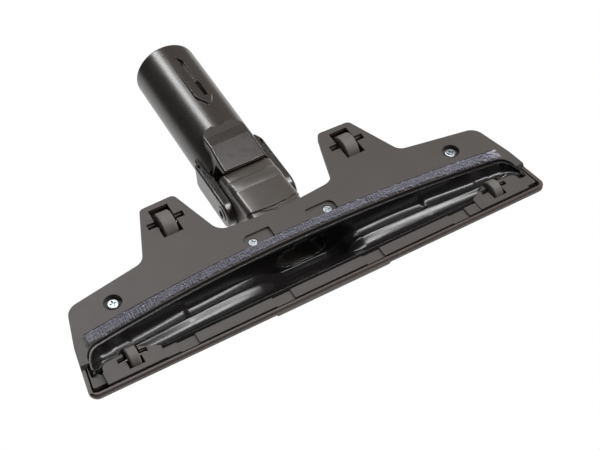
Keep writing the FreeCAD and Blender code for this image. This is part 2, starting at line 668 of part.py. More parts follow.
def corner_pad(grow):
    """Right pad beside the front wheel, grown sideways by a gap."""
    rear_y = PAD_REAR_Y + grow
    inner_x = PAD_INNER_X - grow
    outer_x = PAD_OUTER_X + grow
    inner_radius, outer_radius = PAD_RADII
    corners = [(inner_x, LIP_REAR_Y - EMBED, 0), (inner_x, PAD_FOOT_Y + grow, 0),
               (PAD_FLAT_INNER_X, rear_y, inner_radius),
               (outer_x - PAD_SLANT, rear_y - PAD_SLANT, outer_radius),
               (outer_x, LIP_REAR_Y - EMBED, 0)]
    return plan_prism(corners, SOLE_HEIGHT, SOLE_HEIGHT + FRONT_BLOCK_THICKNESS)


def corner_recess():
    """Step that lifts the sole's front corner beside the pad, with a short ramp."""
    top = SOLE_HEIGHT + CORNER_RECESS
    rear_y = CORNER_RECESS_REAR_Y
    profile = [(-ROOM, 0.0, 0), (rear_y, 0.0, 0), (rear_y, SOLE_HEIGHT, 0),
               (rear_y - CORNER_RECESS / 2, top, 0), (-ROOM, top, 0)]
    return side_prism(profile, ROOM / 2, PAD_OUTER_X + ROOM / 2)


def front_wheel_room():
    """Space of the right front wheel and its window, open towards the channel."""
    rear_y = FRONT_WHEEL_Y + FRONT_WHEEL_RADIUS + WHEEL_ROOM
    return block((FRONT_WHEEL_X - FRONT_WINDOW_HALF_X, FRONT_WHEEL_X + FRONT_WINDOW_HALF_X),
                 (FRONT_WINDOW_FRONT_Y, rear_y), (0, ROOM))


def strip_band(inset, low, high):
    """Curved band of the lint strip, inset from its groove on every side."""
    return band((STRIP_REAR_Y - inset, STRIP_REAR_SAG), (STRIP_FRONT_Y + inset, STRIP_FRONT_SAG),
                STRIP_HALF_LENGTH - inset, low, high)


def sole_plate():
    """Bottom plate with wheel windows, suction mouth, front lip and corner pads."""
    block_top = SOLE_HEIGHT + FRONT_BLOCK_THICKNESS
    inset = SHELL_WALL + 3 * SEAM_GAP
    lip_rear = LIP_REAR_Y
    low = SOLE_TOP - EMBED
    plate = plan_prism(sole_outline(), SOLE_HEIGHT, SOLE_TOP)
    inner = inset_prism(sole_outline(), inset, SOLE_HEIGHT, block_top)
    corner = inner.common(block((PAD_INNER_X, ROOM), (-ROOM, CORNER_RECESS_REAR_Y + FRONT_BLOCK_OVERHANG),
                                (0, ROOM)))
    lip_bar = inner.common(block((-PAD_INNER_X, PAD_INNER_X), (-ROOM, lip_rear),
                                 (0, SOLE_HEIGHT + LIP_HEIGHT)))
    plate = plate.fuse([both_sides(corner), lip_bar])
    mouth = channel_plan(CHANNEL_WALL + MOUTH_GAP, 0.0, ROOM)
    plate = plate.cut(mouth).fuse(both_sides(corner_pad(0.0)))
    lip = block((-PAD_INNER_X, PAD_INNER_X), (-ROOM, lip_rear), (0, SOLE_HEIGHT + LIP_RISE))
    plate = plate.cut(lip).cut(both_sides(corner_recess()))
    for span in (LIP_STEP_NEAR, LIP_STEP_FAR):
        step = block(span, (-ROOM, lip_rear), (0, SOLE_HEIGHT + LIP_RISE + LIP_STEP))
        plate = plate.cut(both_sides(step))
    cradle = cheeks(REAR_WHEEL_X, REAR_WHEEL_Y, REAR_AXLE_Z, REAR_AXLE_DIAMETER, REAR_AXLE_LENGTH,
                    REAR_WINDOW_HALF_X, low, CHEEK_REACH).common(cover_dome(SHELL_WALL + SEAM_GAP))
    cup = rod(OUTER_BORE_DIAMETER + 2 * BOSS_WALL, V(*OUTER_SCREW, low), V(0, 0, 1),
              OUTER_CUP_TOP - low)
    inner_cup = rod(INNER_BORE_DIAMETER + 2 * SEAM_GAP + CHANNEL_WALL, V(*INNER_SCREW, low),
                    V(0, 0, 1), INNER_CUP_TOP - low)
    plate = plate.fuse([both_sides(cradle), both_sides(cup), both_sides(inner_cup)])
    window = block((REAR_WHEEL_X - REAR_WINDOW_HALF_X, REAR_WHEEL_X + REAR_WINDOW_HALF_X),
                   REAR_WINDOW_Y, (0, ROOM))
    rear_slot = axle_slot(REAR_WHEEL_X, REAR_WHEEL_Y, REAR_AXLE_Z, REAR_AXLE_DIAMETER,
                          REAR_AXLE_LENGTH, REAR_SLOT_WIDTH, SOLE_HEIGHT + REAR_SLOT_DEPTH)
    front_slot = axle_slot(FRONT_WHEEL_X, FRONT_WHEEL_Y, FRONT_AXLE_Z, FRONT_AXLE_DIAMETER,
                           FRONT_AXLE_LENGTH, FRONT_SLOT_WIDTH, SOLE_HEIGHT + FRONT_SLOT_DEPTH)
    left_x, right_x = INNER_POCKET_X
    right_radius, left_radius = INNER_POCKET_RADII
    front_y = STRIP_REAR_Y - 2 * EMBED
    pocket = plan_prism([(left_x, front_y, 0), (right_x, front_y, 0),
                         (right_x, INNER_POCKET_REAR_Y, right_radius),
                         (left_x, INNER_POCKET_REAR_Y, left_radius)],
                        0.0, SOLE_HEIGHT + INNER_POCKET_DEPTH)
    bore = rod(OUTER_BORE_DIAMETER, V(*OUTER_SCREW, 0), V(0, 0, 1), SOLE_HEIGHT + OUTER_BORE_DEPTH)
    inner_bore = rod(INNER_BORE_DIAMETER, V(*INNER_SCREW, 0), V(0, 0, 1), SOLE_HEIGHT + INNER_BORE_DEPTH)
    shanks = [rod(SCREW_SHANK_DIAMETER + SCREW_HOLE_CLEARANCE, V(*place, 0), V(0, 0, 1), ROOM)
              for place in (OUTER_SCREW, INNER_SCREW)]
    for hole in [window, front_wheel_room(), rear_slot, front_slot, pocket, bore, inner_bore] + shanks:
        plate = plate.cut(both_sides(hole))
    return plate.cut(strip_band(0.0, 0.0, SOLE_HEIGHT + STRIP_GROOVE_DEPTH))


def channel_insert():
    """Glossy roof of the suction channel with its rim and the throat at its middle."""
    shell = channel_roof(CHANNEL_WALL).common(channel_plan(CHANNEL_WALL, 0.0, ROOM))
    room = channel_roof(0.0).common(channel_plan(0.0, 0.0, ROOM))
    rim = block((-ROOM, ROOM), (-ROOM, ROOM), (0, SOLE_HEIGHT + RIM_RISE))
    bay_z = DUCT_BAY_BOTTOM[1] + DUCT_STEP_RISE
    throat = Part.Face(box_section(DUCT_FRONT_Y - THROAT_REACH, DUCT_HALF_WIDTH - DUCT_WALL,
                                   bay_z + DUCT_WALL, THROAT_TOP_Z, DUCT_EDGE_RADIUS))
    shell = shell.cut(room).cut(rim).cut(throat.extrude(V(0, 2 * THROAT_REACH, 0)))
    for hole in (corner_pad(SEAM_GAP), corner_recess(), front_wheel_room()):
        shell = shell.cut(both_sides(hole))
    return max(shell.Solids, key=lambda solid: solid.Volume)


def moved_in(corners, inset, front_shift):
    """Outline corners moved inwards; the front corners also move back by a shift."""
    moved = []
    count = len(corners)
    for i, (x, y, radius) in enumerate(corners):
        here = V(x, y, 0)
        before = V(corners[i - 1][0], corners[i - 1][1], 0)
        after = V(corners[(i + 1) % count][0], corners[(i + 1) % count][1], 0)
        first = (here - before).normalize()
        second = (after - here).normalize()
        left_first = V(-first.y, first.x, 0)
        left_second = V(-second.y, second.x, 0)
        step = (left_first + left_second) * (inset / (1 + left_first.dot(left_second)))
        turn = first.cross(second).z
        bend = radius - inset if turn > 0 else radius + inset
        shift = front_shift if y < SOLE_FRONT_Y + 1 else 0.0
        moved.append((here.x + step.x, here.y + step.y + shift, max(bend, COVER_LEAST_RADIUS)))
    return moved


def cover_dome(wall):
    """Wings and ears of the cover as stacked outlines, or their inside by a wall."""
    wires = []
    for z, inset, front in COVER_LEVELS:
        corners = moved_in(cover_outline(), inset + wall, front)
        level = z - wall
        wires.append(rounded_wire([(V(x, y, level), r) for x, y, r in corners]))
    return Part.makeLoft(wires, True, True)


def hump(inset):
    """Raised middle of the cover over the duct, before it is cut to the outline."""
    low = SOLE_TOP - inset
    across = [(-HUMP_BASE_HALF + inset, low, 0), (HUMP_BASE_HALF - inset, low, 0),
              (HUMP_TOP_HALF - inset / 2, HUMP_HEIGHT - inset, HUMP_CORNER_RADIUS),
              (-HUMP_TOP_HALF + inset / 2, HUMP_HEIGHT - inset, HUMP_CORNER_RADIUS)]
    body = front_prism(across, -ROOM, 0.0)
    break_y, break_z = HUMP_BREAK
    brow_y, brow_z = COVER_BROW
    along = [(NOSE_Y + inset, low, 0), (NOSE_Y + inset, NOSE_TOP - inset / 2, NOSE_RADIUS),
             (brow_y + inset / 2, brow_z - inset, HUMP_BROW_RADIUS),
             (break_y, break_z - inset, HUMP_BREAK_RADIUS),
             (0.0, HUMP_HEIGHT - inset + HUMP_CLIMB, 0), (0.0, low, 0)]
    return body.common(side_prism(along, HUMP_BASE_HALF + 1))


def top_cover():
    """Upper shell: rounded wings and ears, a hump over the duct and screw posts."""
    crest = hump(0.0).common(plan_prism(cover_outline(), SOLE_TOP, ROOM))
    body = cover_dome(0.0).fuse(crest)
    room = inset_prism(cover_outline(), SHELL_WALL, SOLE_TOP - SHELL_WALL, ROOM)
    hollow = cover_dome(SHELL_WALL).fuse(hump(SHELL_WALL).common(room))
    seat = plan_prism(head_corners(SOLE_FRONT_Y - SEAM_GAP, HEAD_HALF_WIDTH + 1, SOLE_CORNER_RADIUS),
                      0.0, SOLE_TOP)
    body = body.cut(hollow).cut(seat)
    turn = math.radians(DUCT_SHOULDER_ANGLE)
    duct_top = PIVOT_Z + DUCT_CROWN_RADIUS * math.sin(turn)
    gate_front, gate_rear = GATE_Y
    gate = Part.Face(box_section(gate_front, DUCT_HALF_WIDTH + SEAM_GAP, SOLE_HEIGHT,
                                 duct_top + SEAM_GAP, DUCT_EDGE_RADIUS))
    body = body.cut(gate.extrude(V(0, gate_rear - gate_front, 0)))
    posts = []
    limit = cover_dome(SEAM_GAP).fuse(hump(SEAM_GAP))
    for place, low in ((OUTER_SCREW, OUTER_CUP_TOP), (INNER_SCREW, INNER_CUP_TOP)):
        post = rod(SCREW_SHANK_DIAMETER + 2 * BOSS_WALL, V(*place, low), V(0, 0, 1), HUMP_HEIGHT)
        pilot = rod(SCREW_SHANK_DIAMETER, V(*place, low), V(0, 0, 1), SCREW_LENGTH)
        posts.append(both_sides(post.common(limit).cut(pilot)))
    return body.fuse(posts)


def screw(place, head_diameter, head_height, seat_z):
    """Pan-head screw, head down, with a cross recess."""
    x, y = place
    head = rod(head_diameter, V(x, y, seat_z - head_height), V(0, 0, 1), head_height)
    rim = [e for e in head.Edges if abs(e.CenterOfMass.z - seat_z + head_height) < 1e-6]
    head = head.makeFillet(head_height * SCREW_EDGE_SHARE, rim)
    shank = rod(SCREW_SHANK_DIAMETER, V(x, y, seat_z), V(0, 0, 1), SCREW_LENGTH - 1.0)
    wide, thin = (head_diameter * share for share in SCREW_CROSS_SHARES)
    depth = (seat_z - head_height - 1, seat_z - head_height + SCREW_CROSS_DEPTH * head_height / 2)
    cross = block((x - wide, x + wide), (y - thin, y + thin), depth)
    cross = cross.fuse(block((x - thin, x + thin), (y - wide, y + wide), depth))
    return head.fuse(shank).cut(cross)


def screws(place, head_diameter, head_height, seat_z):
    """Both screws of a mirrored pair as one group of solids."""
    one = screw(place, head_diameter, head_height, seat_z)
    return Part.makeCompound([one, mirrored(one)])


def build():
    """Every piece by name, in the drawing position."""
    carrier_low = SOLE_HEIGHT + STRIP_GROOVE_DEPTH - CARRIER_THICKNESS
    pieces = {
        "top_cover": top_cover(),
        "sole_plate": sole_plate(),
        "channel_insert": channel_insert(),
        "outlet_duct": outlet_duct(),
        "neck_tube": neck(),
        "strip_carrier": strip_band(CARRIER_GAP, carrier_low, carrier_low + CARRIER_THICKNESS),
        "lint_strip": strip_band(STRIP_GAP, SOLE_HEIGHT - STRIP_PILE, carrier_low),
        "outer_screws": screws(OUTER_SCREW, OUTER_HEAD_DIAMETER, OUTER_HEAD_HEIGHT,
                               SOLE_HEIGHT + OUTER_BORE_DEPTH),
        "inner_screws": screws(INNER_SCREW, INNER_HEAD_DIAMETER, INNER_HEAD_HEIGHT,
                               SOLE_HEIGHT + INNER_BORE_DEPTH),
    }
    rear_bore = REAR_AXLE_DIAMETER + 2 * WHEEL_BORE_CLEARANCE
    front_bore = FRONT_AXLE_DIAMETER + 2 * WHEEL_BORE_CLEARANCE
    right = {
        "pivot_pin": pivot_pin(),
        "rear_axle": axle(REAR_AXLE_DIAMETER, REAR_AXLE_LENGTH, REAR_WHEEL_X, REAR_WHEEL_Y, REAR_AXLE_Z),
        "front_axle": axle(FRONT_AXLE_DIAMETER, FRONT_AXLE_LENGTH, FRONT_WHEEL_X, FRONT_WHEEL_Y,
                           FRONT_AXLE_Z),
        "rear_wheel": wheel(REAR_WHEEL_RADIUS, REAR_WHEEL_WIDTH, rear_bore,
                            REAR_WHEEL_X, REAR_WHEEL_Y, REAR_AXLE_Z),
        "front_wheel": wheel(FRONT_WHEEL_RADIUS, FRONT_WHEEL_WIDTH, front_bore,
                             FRONT_WHEEL_X, FRONT_WHEEL_Y, FRONT_AXLE_Z),
    }
    for name, shape in right.items():
        pieces[name + "_right"] = shape
        pieces[name + "_left"] = mirrored(shape)
    return pieces


def export(pieces):
    """Moves the origin to the centre of the bounding box and writes every piece."""
    os.makedirs("parts", exist_ok=True)
    boxes = [shape.optimalBoundingBox(False) for shape in pieces.values()]
    middle_y = (min(box.YMin for box in boxes) + max(box.YMax for box in boxes)) / 2
    for name, shape in pieces.items():
        moved = shape.copy()
        moved.translate(V(0, -middle_y, 0))
        moved.exportStep("parts/" + name + ".step")
        box = moved.optimalBoundingBox(False)
        print(name, moved.isValid(), len(moved.Solids), round(moved.Volume, 1),
              [round(v, 2) for v in (box.XMin, box.XMax, box.YMin, box.YMax, box.ZMin, box.ZMax)])
    print("middle_y", round(middle_y, 4))


if __name__ == "__main__":
    export(build())
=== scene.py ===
"""Studio picture of a vacuum floor brush head, seen from below and in front.

This script gives every solid its finish, replaces the suction channel with a smooth shell
and the lint strip with a pile of single fibres, and sets the camera, the floor and the
studio light.
"""

import logging
import math
from dataclasses import dataclass, field
from enum import Enum
from typing import Optional, Union

import bpy
import numpy as np
from mathutils import Matrix, Vector


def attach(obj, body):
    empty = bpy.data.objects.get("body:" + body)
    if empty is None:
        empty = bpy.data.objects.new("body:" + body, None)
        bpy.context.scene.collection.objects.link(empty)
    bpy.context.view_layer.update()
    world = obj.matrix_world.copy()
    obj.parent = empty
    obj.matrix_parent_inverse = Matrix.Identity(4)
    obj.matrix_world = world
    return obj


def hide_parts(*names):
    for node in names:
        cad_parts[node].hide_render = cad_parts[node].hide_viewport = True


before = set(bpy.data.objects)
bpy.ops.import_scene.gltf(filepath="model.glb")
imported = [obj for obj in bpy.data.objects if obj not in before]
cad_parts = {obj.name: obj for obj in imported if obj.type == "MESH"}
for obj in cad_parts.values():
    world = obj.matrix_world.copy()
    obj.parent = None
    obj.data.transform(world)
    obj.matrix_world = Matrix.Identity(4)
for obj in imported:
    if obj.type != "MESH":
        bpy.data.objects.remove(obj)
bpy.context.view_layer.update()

LOG = logging.getLogger("brush_head")
MM = 0.001
DRAWING_SHIFT = 12.0858
TINY = 1e-9
Colour = tuple[float, float, float]
Table = tuple[float, ...]


def framed(points: np.ndarray) -> np.ndarray:
    """Points of the part's drawing in millimetres as points of the frame in metres.

    The frame's y is the drawing's y less the drawing's shift.

    Args:
        points: array whose last axis is x, y and z.

    Returns:
        The points as rows of three, in metres.
    """
    return ((points - (0.0, DRAWING_SHIFT, 0.0)) * MM).reshape(-1, 3)


def piece(name: str, points: np.ndarray, faces: np.ndarray,
          finish: bpy.types.Material) -> bpy.types.Object:
    """Makes a smooth mesh object whose place is in its vertices.

    Args:
        name: the object's name.
        points: rows of x, y and z in metres.
        faces: rows of vertex numbers, three or four to a row.
        finish: its material.

    Returns:
        The new object, at the origin.
    """
    mesh = bpy.data.meshes.new(name)
    count, sides = faces.shape
    mesh.vertices.add(len(points))
    mesh.vertices.foreach_set("co", points.astype(np.float32).ravel())
    mesh.loops.add(count * sides)
    mesh.loops.foreach_set("vertex_index", faces.astype(np.int32).ravel())
    mesh.polygons.add(count)
    mesh.polygons.foreach_set("loop_start", np.arange(count, dtype=np.int32) * sides)
    mesh.polygons.foreach_set("use_smooth", np.ones(count, dtype=bool))
    mesh.update(calc_edges=True)
    mesh.materials.append(finish)
    made = bpy.data.objects.new(name, mesh)
    bpy.context.scene.collection.objects.link(made)
    LOG.info("%s: %d faces", name, count)
    return made


def eased(place: np.ndarray, knots: Table, values: Table) -> np.ndarray:
    """Values between knots, along cubics that are level at the first knot and never overshoot.

    The slope at a knot is the harmonic mean of the slopes beside it, and 0 where they differ
    in sign. Beyond the last knot its value holds.

    Args:
        place: where the values are wanted.
        knots: rising places of the known values.
        values: the known values.

    Returns:
        A value for each place.
    """
    knots, values = np.array(knots), np.array(values)
    step = np.diff(knots)
    slope = np.diff(values) / step
    before, after = slope[:-1], slope[1:]
    same = before * after > 0.0
    tangent = np.zeros(len(knots))
    both = np.where(same, before + after, 1.0)
    tangent[1:-1] = np.where(same, 2.0 * before * after / both, 0.0)
    tangent[-1] = slope[-1]
    at = np.clip(np.searchsorted(knots, place, "right") - 1, 0, len(step) - 1)
    share = np.clip((place - knots[at]) / step[at], 0.0, 1.0)
    rise = share * share * (3.0 - 2.0 * share)
    start = share * (1.0 - share) ** 2 * step[at] * tangent[at]
    end = share * share * (share - 1.0) * step[at] * tangent[at + 1]
    return values[at] + (values[at + 1] - values[at]) * rise + start + end


def shell(inner: np.ndarray, outer: np.ndarray, kept: np.ndarray) -> tuple[np.ndarray, np.ndarray]:
    """Closed shell between two grids of points.

    Each kept cell gives a quad on both grids, turned away from each other, and each cell
    edge with one kept side gets a quad that joins the grids.

    Args:
        inner: grid of points, rows by columns by 3.
        outer: the same grid on the shell's other side.
        kept: True for each of the (rows - 1) by (columns - 1) cells that exist.

    Returns:
        The points as rows of three, and the quads.
    """
    rows, columns = inner.shape[:2]
    number = np.arange(rows * columns).reshape(rows, columns)
    a, b, c, d = number[:-1, :-1], number[1:, :-1], number[1:, 1:], number[:-1, 1:]
    near = np.stack([a, b, c, d], -1)[kept]
    far = near[:, ::-1] + rows * columns
    padded = np.pad(kept, 1)
    quads = [near, far]
    for start, end, beside in ((a, b, padded[1:-1, :-2]), (b, c, padded[2:, 1:-1]),
                               (c, d, padded[1:-1, 2:]), (d, a, padded[:-2, 1:-1])):
        open_side = kept & ~beside
        low, high = start[open_side], end[open_side]
        quads.append(np.stack([high, low, low + rows * columns, high + rows * columns], -1))
    points = np.concatenate([inner.reshape(-1, 3), outer.reshape(-1, 3)])
    return points, np.concatenate(quads)


def linear(red: float, green: float, blue: float) -> Colour:
    """Scene-linear colour of an 8-bit display colour.

    Each channel c in 0..255 becomes ((c / 255 + 0.055) / 1.055) to the power 2.4, and
    c / 255 / 12.92 where it is nearly black.

    Args:
        red: display red, 0 to 255.
        green: display green, 0 to 255.
        blue: display blue, 0 to 255.

    Returns:
        The three linear channels.
    """
    shares = np.array([red, green, blue], float) / 255.0
    dark = shares / 12.92
    light = ((shares + 0.055) / 1.055) ** 2.4
    return tuple(float(c) for c in np.where(shares <= 0.04045, dark, light))


class Number:
    """A number socket that takes part in plain Python expressions."""

    def __init__(self, board: "Board", socket: bpy.types.NodeSocket) -> None:
        """Wraps one output socket of a material's nodes."""
        self.board = board
        self.socket = socket

    def _maths(self, operation: str, *terms: Union["Number", float],
               clamp: bool = False) -> "Number":
        """Adds one Math node.

        Args:
            operation: the Math node's operation.
            terms: its inputs, in order.
            clamp: True keeps the result between 0 and 1.

        Returns:
            The node's result.
        """
        values = {place: term.socket if isinstance(term, Number) else float(term)
                  for place, term in enumerate(terms)}
        made = self.board.node("ShaderNodeMath", {"operation": operation, "use_clamp": clamp},
                               values)
        return Number(self.board, made.outputs[0])

    def __add__(self, other: Union["Number", float]) -> "Number":
        """Sum."""
        return self._maths("ADD", self, other)

    def __radd__(self, other: float) -> "Number":
        """Sum with a plain number first."""
        return self._maths("ADD", other, self)

    def __sub__(self, other: Union["Number", float]) -> "Number":
        """Difference."""
        return self._maths("SUBTRACT", self, other)

    def __rsub__(self, other: float) -> "Number":
        """Plain number less this one."""
        return self._maths("SUBTRACT", other, self)

    def __mul__(self, other: Union["Number", float]) -> "Number":
        """Product."""
        return self._maths("MULTIPLY", self, other)

    def __rmul__(self, other: float) -> "Number":
        """Product with a plain number first."""
        return self._maths("MULTIPLY", other, self)

    def __abs__(self) -> "Number":
        """This number without its sign."""
        return self._maths("ABSOLUTE", self)

    def kept(self) -> "Number":
        """This number kept between 0 and 1."""
        return self._maths("ADD", self, 0.0, clamp=True)

    def stepped(self, low: float, high: float) -> "Number":
        """0 below low, 1 above high and a smooth rise between them.

        Args:
            low: where the rise starts.
            high: where it ends.

        Returns:
            The stepped number.
        """
        made = self.board.node("ShaderNodeMapRange", {"interpolation_type": "SMOOTHSTEP"},
                               {"Value": self.socket, "From Min": low, "From Max": high})
        return Number(self.board, made.outputs["Result"])


class Board:
    """The node board of one material, with its Principled shader."""

    bevel_samples = 6
    edge_gain = 3.0
    grain_smoothness = 0.6

    def __init__(self, name: str) -> None:
        """Starts an empty material that has only its shader and its output.

        Args:
            name: the material's name.
        """
        self.material = bpy.data.materials.new(name)
        self.material.use_nodes = True
        self.tree = self.material.node_tree
        self.tree.nodes.clear()
        self.output = self.node("ShaderNodeOutputMaterial")
        self.shader = self.node("ShaderNodeBsdfPrincipled")
        self.link(self.shader.outputs["BSDF"], self.output.inputs["Surface"])

    @classmethod
    def of_world(cls, world: bpy.types.World) -> "Board":
        """The node board of a world, emptied but for its output.

        Args:
            world: the world, with its nodes in use.

        Returns:
            The board, which has no shader of its own.
        """
        board = cls.__new__(cls)
        board.tree = world.node_tree
        board.tree.nodes.clear()
        board.output = board.node("ShaderNodeOutputWorld")
        return board

    def link(self, source: bpy.types.NodeSocket, target: bpy.types.NodeSocket) -> None:
        """Joins two sockets."""
        self.tree.links.new(source, target)

    def node(self, kind: str, settings: Optional[dict] = None,
             values: Optional[dict] = None) -> bpy.types.Node:
        """Adds a node.

        Args:
            kind: the node's type name.
            settings: properties of the node, set before its sockets.
            values: value or link for each input socket, by name or number.

        Returns:
            The new node.
        """
        made = self.tree.nodes.new(kind)
        for key, value in (settings or {}).items():
            setattr(made, key, value)
        for key, value in (values or {}).items():
            if isinstance(value, Number):
                value = value.socket
            if isinstance(value, bpy.types.NodeSocket):
                self.link(value, made.inputs[key])
            else:
                made.inputs[key].default_value = value
        return made

    def constants(self, **values: Union[float, Colour]) -> None:
        """Sets constants on the shader's own sockets.

        Args:
            values: number or colour for each socket, with underscores for the name's spaces.
        """
        for name, value in values.items():
            socket = self.shader.inputs[name.replace("_", " ")]
            socket.default_value = (*value, 1.0) if isinstance(value, tuple) else value

    def feed(self, name: str, value: Union[Number, bpy.types.NodeSocket]) -> None:
        """Links a changing value to one of the shader's sockets."""
        self.link(value.socket if isinstance(value, Number) else value, self.shader.inputs[name])

    def place(self) -> bpy.types.NodeSocket:
        """The point on the piece, in metres, in the piece's own frame."""
        return self.node("ShaderNodeTexCoord").outputs["Object"]

    def noise(self, size_mm: float, detail: float = 2.0, rough: float = 0.5) -> Number:
        """Cloudy noise, about 0.5 on average.

        Args:
            size_mm: size of one cloud in millimetres.
            detail: octaves added below that size.
            rough: share of the finer octaves.

        Returns:
            The noise as a number.
        """
        made = self.node("ShaderNodeTexNoise", {},
                         {"Vector": self.place(), "Scale": 1.0 / (size_mm * MM),
                          "Detail": detail, "Roughness": rough})
        return Number(self, made.outputs["Fac"])

    def grains(self, size_mm: float) -> Number:
        """Distance to the nearest of many scattered points, 0 at each, for moulded grain.

        Args:
            size_mm: distance between points in millimetres.

        Returns:
            The distance as a share of the size, smoothed.
        """
        made = self.node("ShaderNodeTexVoronoi", {"feature": "SMOOTH_F1"},
                         {"Vector": self.place(), "Scale": 1.0 / (size_mm * MM),
                          "Smoothness": self.grain_smoothness})
        return Number(self, made.outputs["Distance"])

    def edges(self, radius_mm: float) -> tuple[bpy.types.NodeSocket, Number]:
        """Softened corners: a normal that turns over a radius, and a mask of where it turns.

        The mask is 1 minus the dot product of the softened and the true normal, times a gain
        that brings the middle of a square edge near 1.

        Args:
            radius_mm: radius of the softened corner in millimetres.

        Returns:
            The softened normal and the mask.
        """
        soft = self.node("ShaderNodeBevel", {"samples": self.bevel_samples},
                         {"Radius": radius_mm * MM})
        true = self.node("ShaderNodeNewGeometry").outputs["True Normal"]
        turn = self.node("ShaderNodeVectorMath", {"operation": "DOT_PRODUCT"},
                         {0: soft.outputs[0], 1: true})
        mask = (1.0 - Number(self, turn.outputs["Value"])) * self.edge_gain
        return soft.outputs[0], mask.kept()

    def blend(self, share: Number, first: Union[Colour, bpy.types.NodeSocket],
              second: Union[Colour, bpy.types.NodeSocket]) -> bpy.types.NodeSocket:
        """Colour between two colours.

        Args:
            share: 0 gives the first colour, 1 the second.
            first: colour or colour socket.
            second: colour or colour socket.

        Returns:
            The mixed colour.
        """
        made = self.node("ShaderNodeMix", {"data_type": "RGBA"}, {0: share})
        for place, colour in ((6, first), (7, second)):
            if isinstance(colour, tuple):
                made.inputs[place].default_value = (*colour, 1.0)
            else:
                self.link(colour, made.inputs[place])
        return made.outputs[2]

    def relief(self, height: Number, depth_mm: float, normal: bpy.types.NodeSocket) -> None:
        """Feeds a bump to the shader's normal.

        Args:
            height: the relief, as a share of its depth.
            depth_mm: its depth in millimetres.
            normal: the normal that the relief stands on.
        """
        values = {"Height": height, "Distance": depth_mm * MM, "Strength": 1.0, "Normal": normal}
        self.feed("Normal", self.node("ShaderNodeBump", {}, values).outputs[0])


@dataclass(frozen=True)
class MouldedPlastic:
    """Injection-moulded plastic: spark-eroded grain, slight clouds and worn edges."""

    colour: Colour
    roughness: float
    grain_mm: float = 0.35
    grain_depth_mm: float = 0.006
    grain_share: float = 0.7
    fine_grain: float = 0.6
    cloud: float = 0.06
    cloud_mm: float = 22.0
    cloud_share: float = 0.65
    speck: float = 2.2
    sheen_spread: float = 0.05
    sheen_cloud: float = 0.4
    edge_mm: float = 0.35
    edge_lift: float = 0.35
    edge_add: float = 0.01
    edge_share: float = 0.8
    specular: float = 0.5
    crown_mm: Optional[tuple[float, float]] = None

    def material(self, name: str) -> bpy.types.Material:
        """Builds the material.

        Colour: the base times 1 minus and plus the cloud share, mixed towards a paler tone
        by the edge mask. Roughness: the base plus the spread times a finer noise. Relief: the
        grain's smooth cell distance with a little noise, over softened corners.

        Args:
            name: the material's name.

        Returns:
            The material.
        """
        board = Board(name)
        clouds = board.noise(self.cloud_mm, 4.0)
        specks = board.noise(self.grain_mm * self.speck, 2.0, 0.6)
        share = clouds * self.cloud_share + specks * (1.0 - self.cloud_share)
        dark = tuple(c * (1.0 - self.cloud) for c in self.colour)
        pale = tuple(c * (1.0 + self.cloud) for c in self.colour)
        worn = tuple(min(1.0, c * (1.0 + self.edge_lift) + self.edge_add) for c in self.colour)
        normal, mask = board.edges(self.edge_mm)
        clouded = board.blend(share.stepped(0.25, 0.75), dark, pale)
        board.feed("Base Color", board.blend(mask * self.edge_share, clouded, worn))
        sheen = board.noise(self.cloud_mm * self.sheen_cloud, 3.0) - 0.5
        board.feed("Roughness", (self.roughness + sheen * (2.0 * self.sheen_spread)).kept())
        fine = board.noise(self.grain_mm * self.fine_grain, 2.0) * (1.0 - self.grain_share)
        grain = board.grains(self.grain_mm) * self.grain_share + fine
        if self.crown_mm:
            grain = grain + self.crown(board) * (1.0 / self.grain_depth_mm)
        board.relief(grain, self.grain_depth_mm, normal)
        board.constants(Specular_IOR_Level=self.specular)
        return board.material

    def crown(self, board: Board) -> Number:
        """Height in millimetres of a flat face that falls away to both sides like a barrel.

        Beyond the crown's flat half width the height is minus the square of the distance
        from it over twice the crown's radius.

        Args:
            board: the material's node board.

        Returns:
            The height.
        """
        flat, radius = self.crown_mm
        across = board.node("ShaderNodeSeparateXYZ", {}, {0: board.place()}).outputs[0]
        past = abs(Number(board, across)) * (1.0 / MM) - flat
        past = (past + abs(past)) * 0.5
        return past * past * (-0.5 / radius)


@dataclass(frozen=True)
class PlatedSteel:
    """Plated or turned steel with fine marks; bright, or darkened near black as painted shade."""

    colour: Colour
    roughness: float
    shade: float = 0.82
    cloud_mm: float = 2.4
    sheen_mm: float = 0.9
    sheen_spread: float = 0.09
    mark_mm: float = 0.25
    mark_depth_mm: float = 0.004
    edge_mm: float = 0.15
    edge_polish: float = 0.05

    def material(self, name: str) -> bpy.types.Material:
        """Builds the material.

        Metal whose tone clouds between its colour and a darker shade of it. Its roughness
        varies by the spread and falls at the edges, and its relief is fine noise.

        Args:
            name: the material's name.

        Returns:
            The material.
        """
        board = Board(name)
        clouds = board.noise(self.cloud_mm, 3.0)
        dark = tuple(c * self.shade for c in self.colour)
        normal, mask = board.edges(self.edge_mm)
        board.feed("Base Color", board.blend(clouds.stepped(0.3, 0.7), dark, self.colour))
        sheen = (board.noise(self.sheen_mm, 2.0) - 0.5) * (2.0 * self.sheen_spread)
        board.feed("Roughness", (self.roughness + sheen - mask * self.edge_polish).kept())
        board.relief(board.noise(self.mark_mm, 3.0), self.mark_depth_mm, normal)
        board.constants(Metallic=1.0)
        return board.material


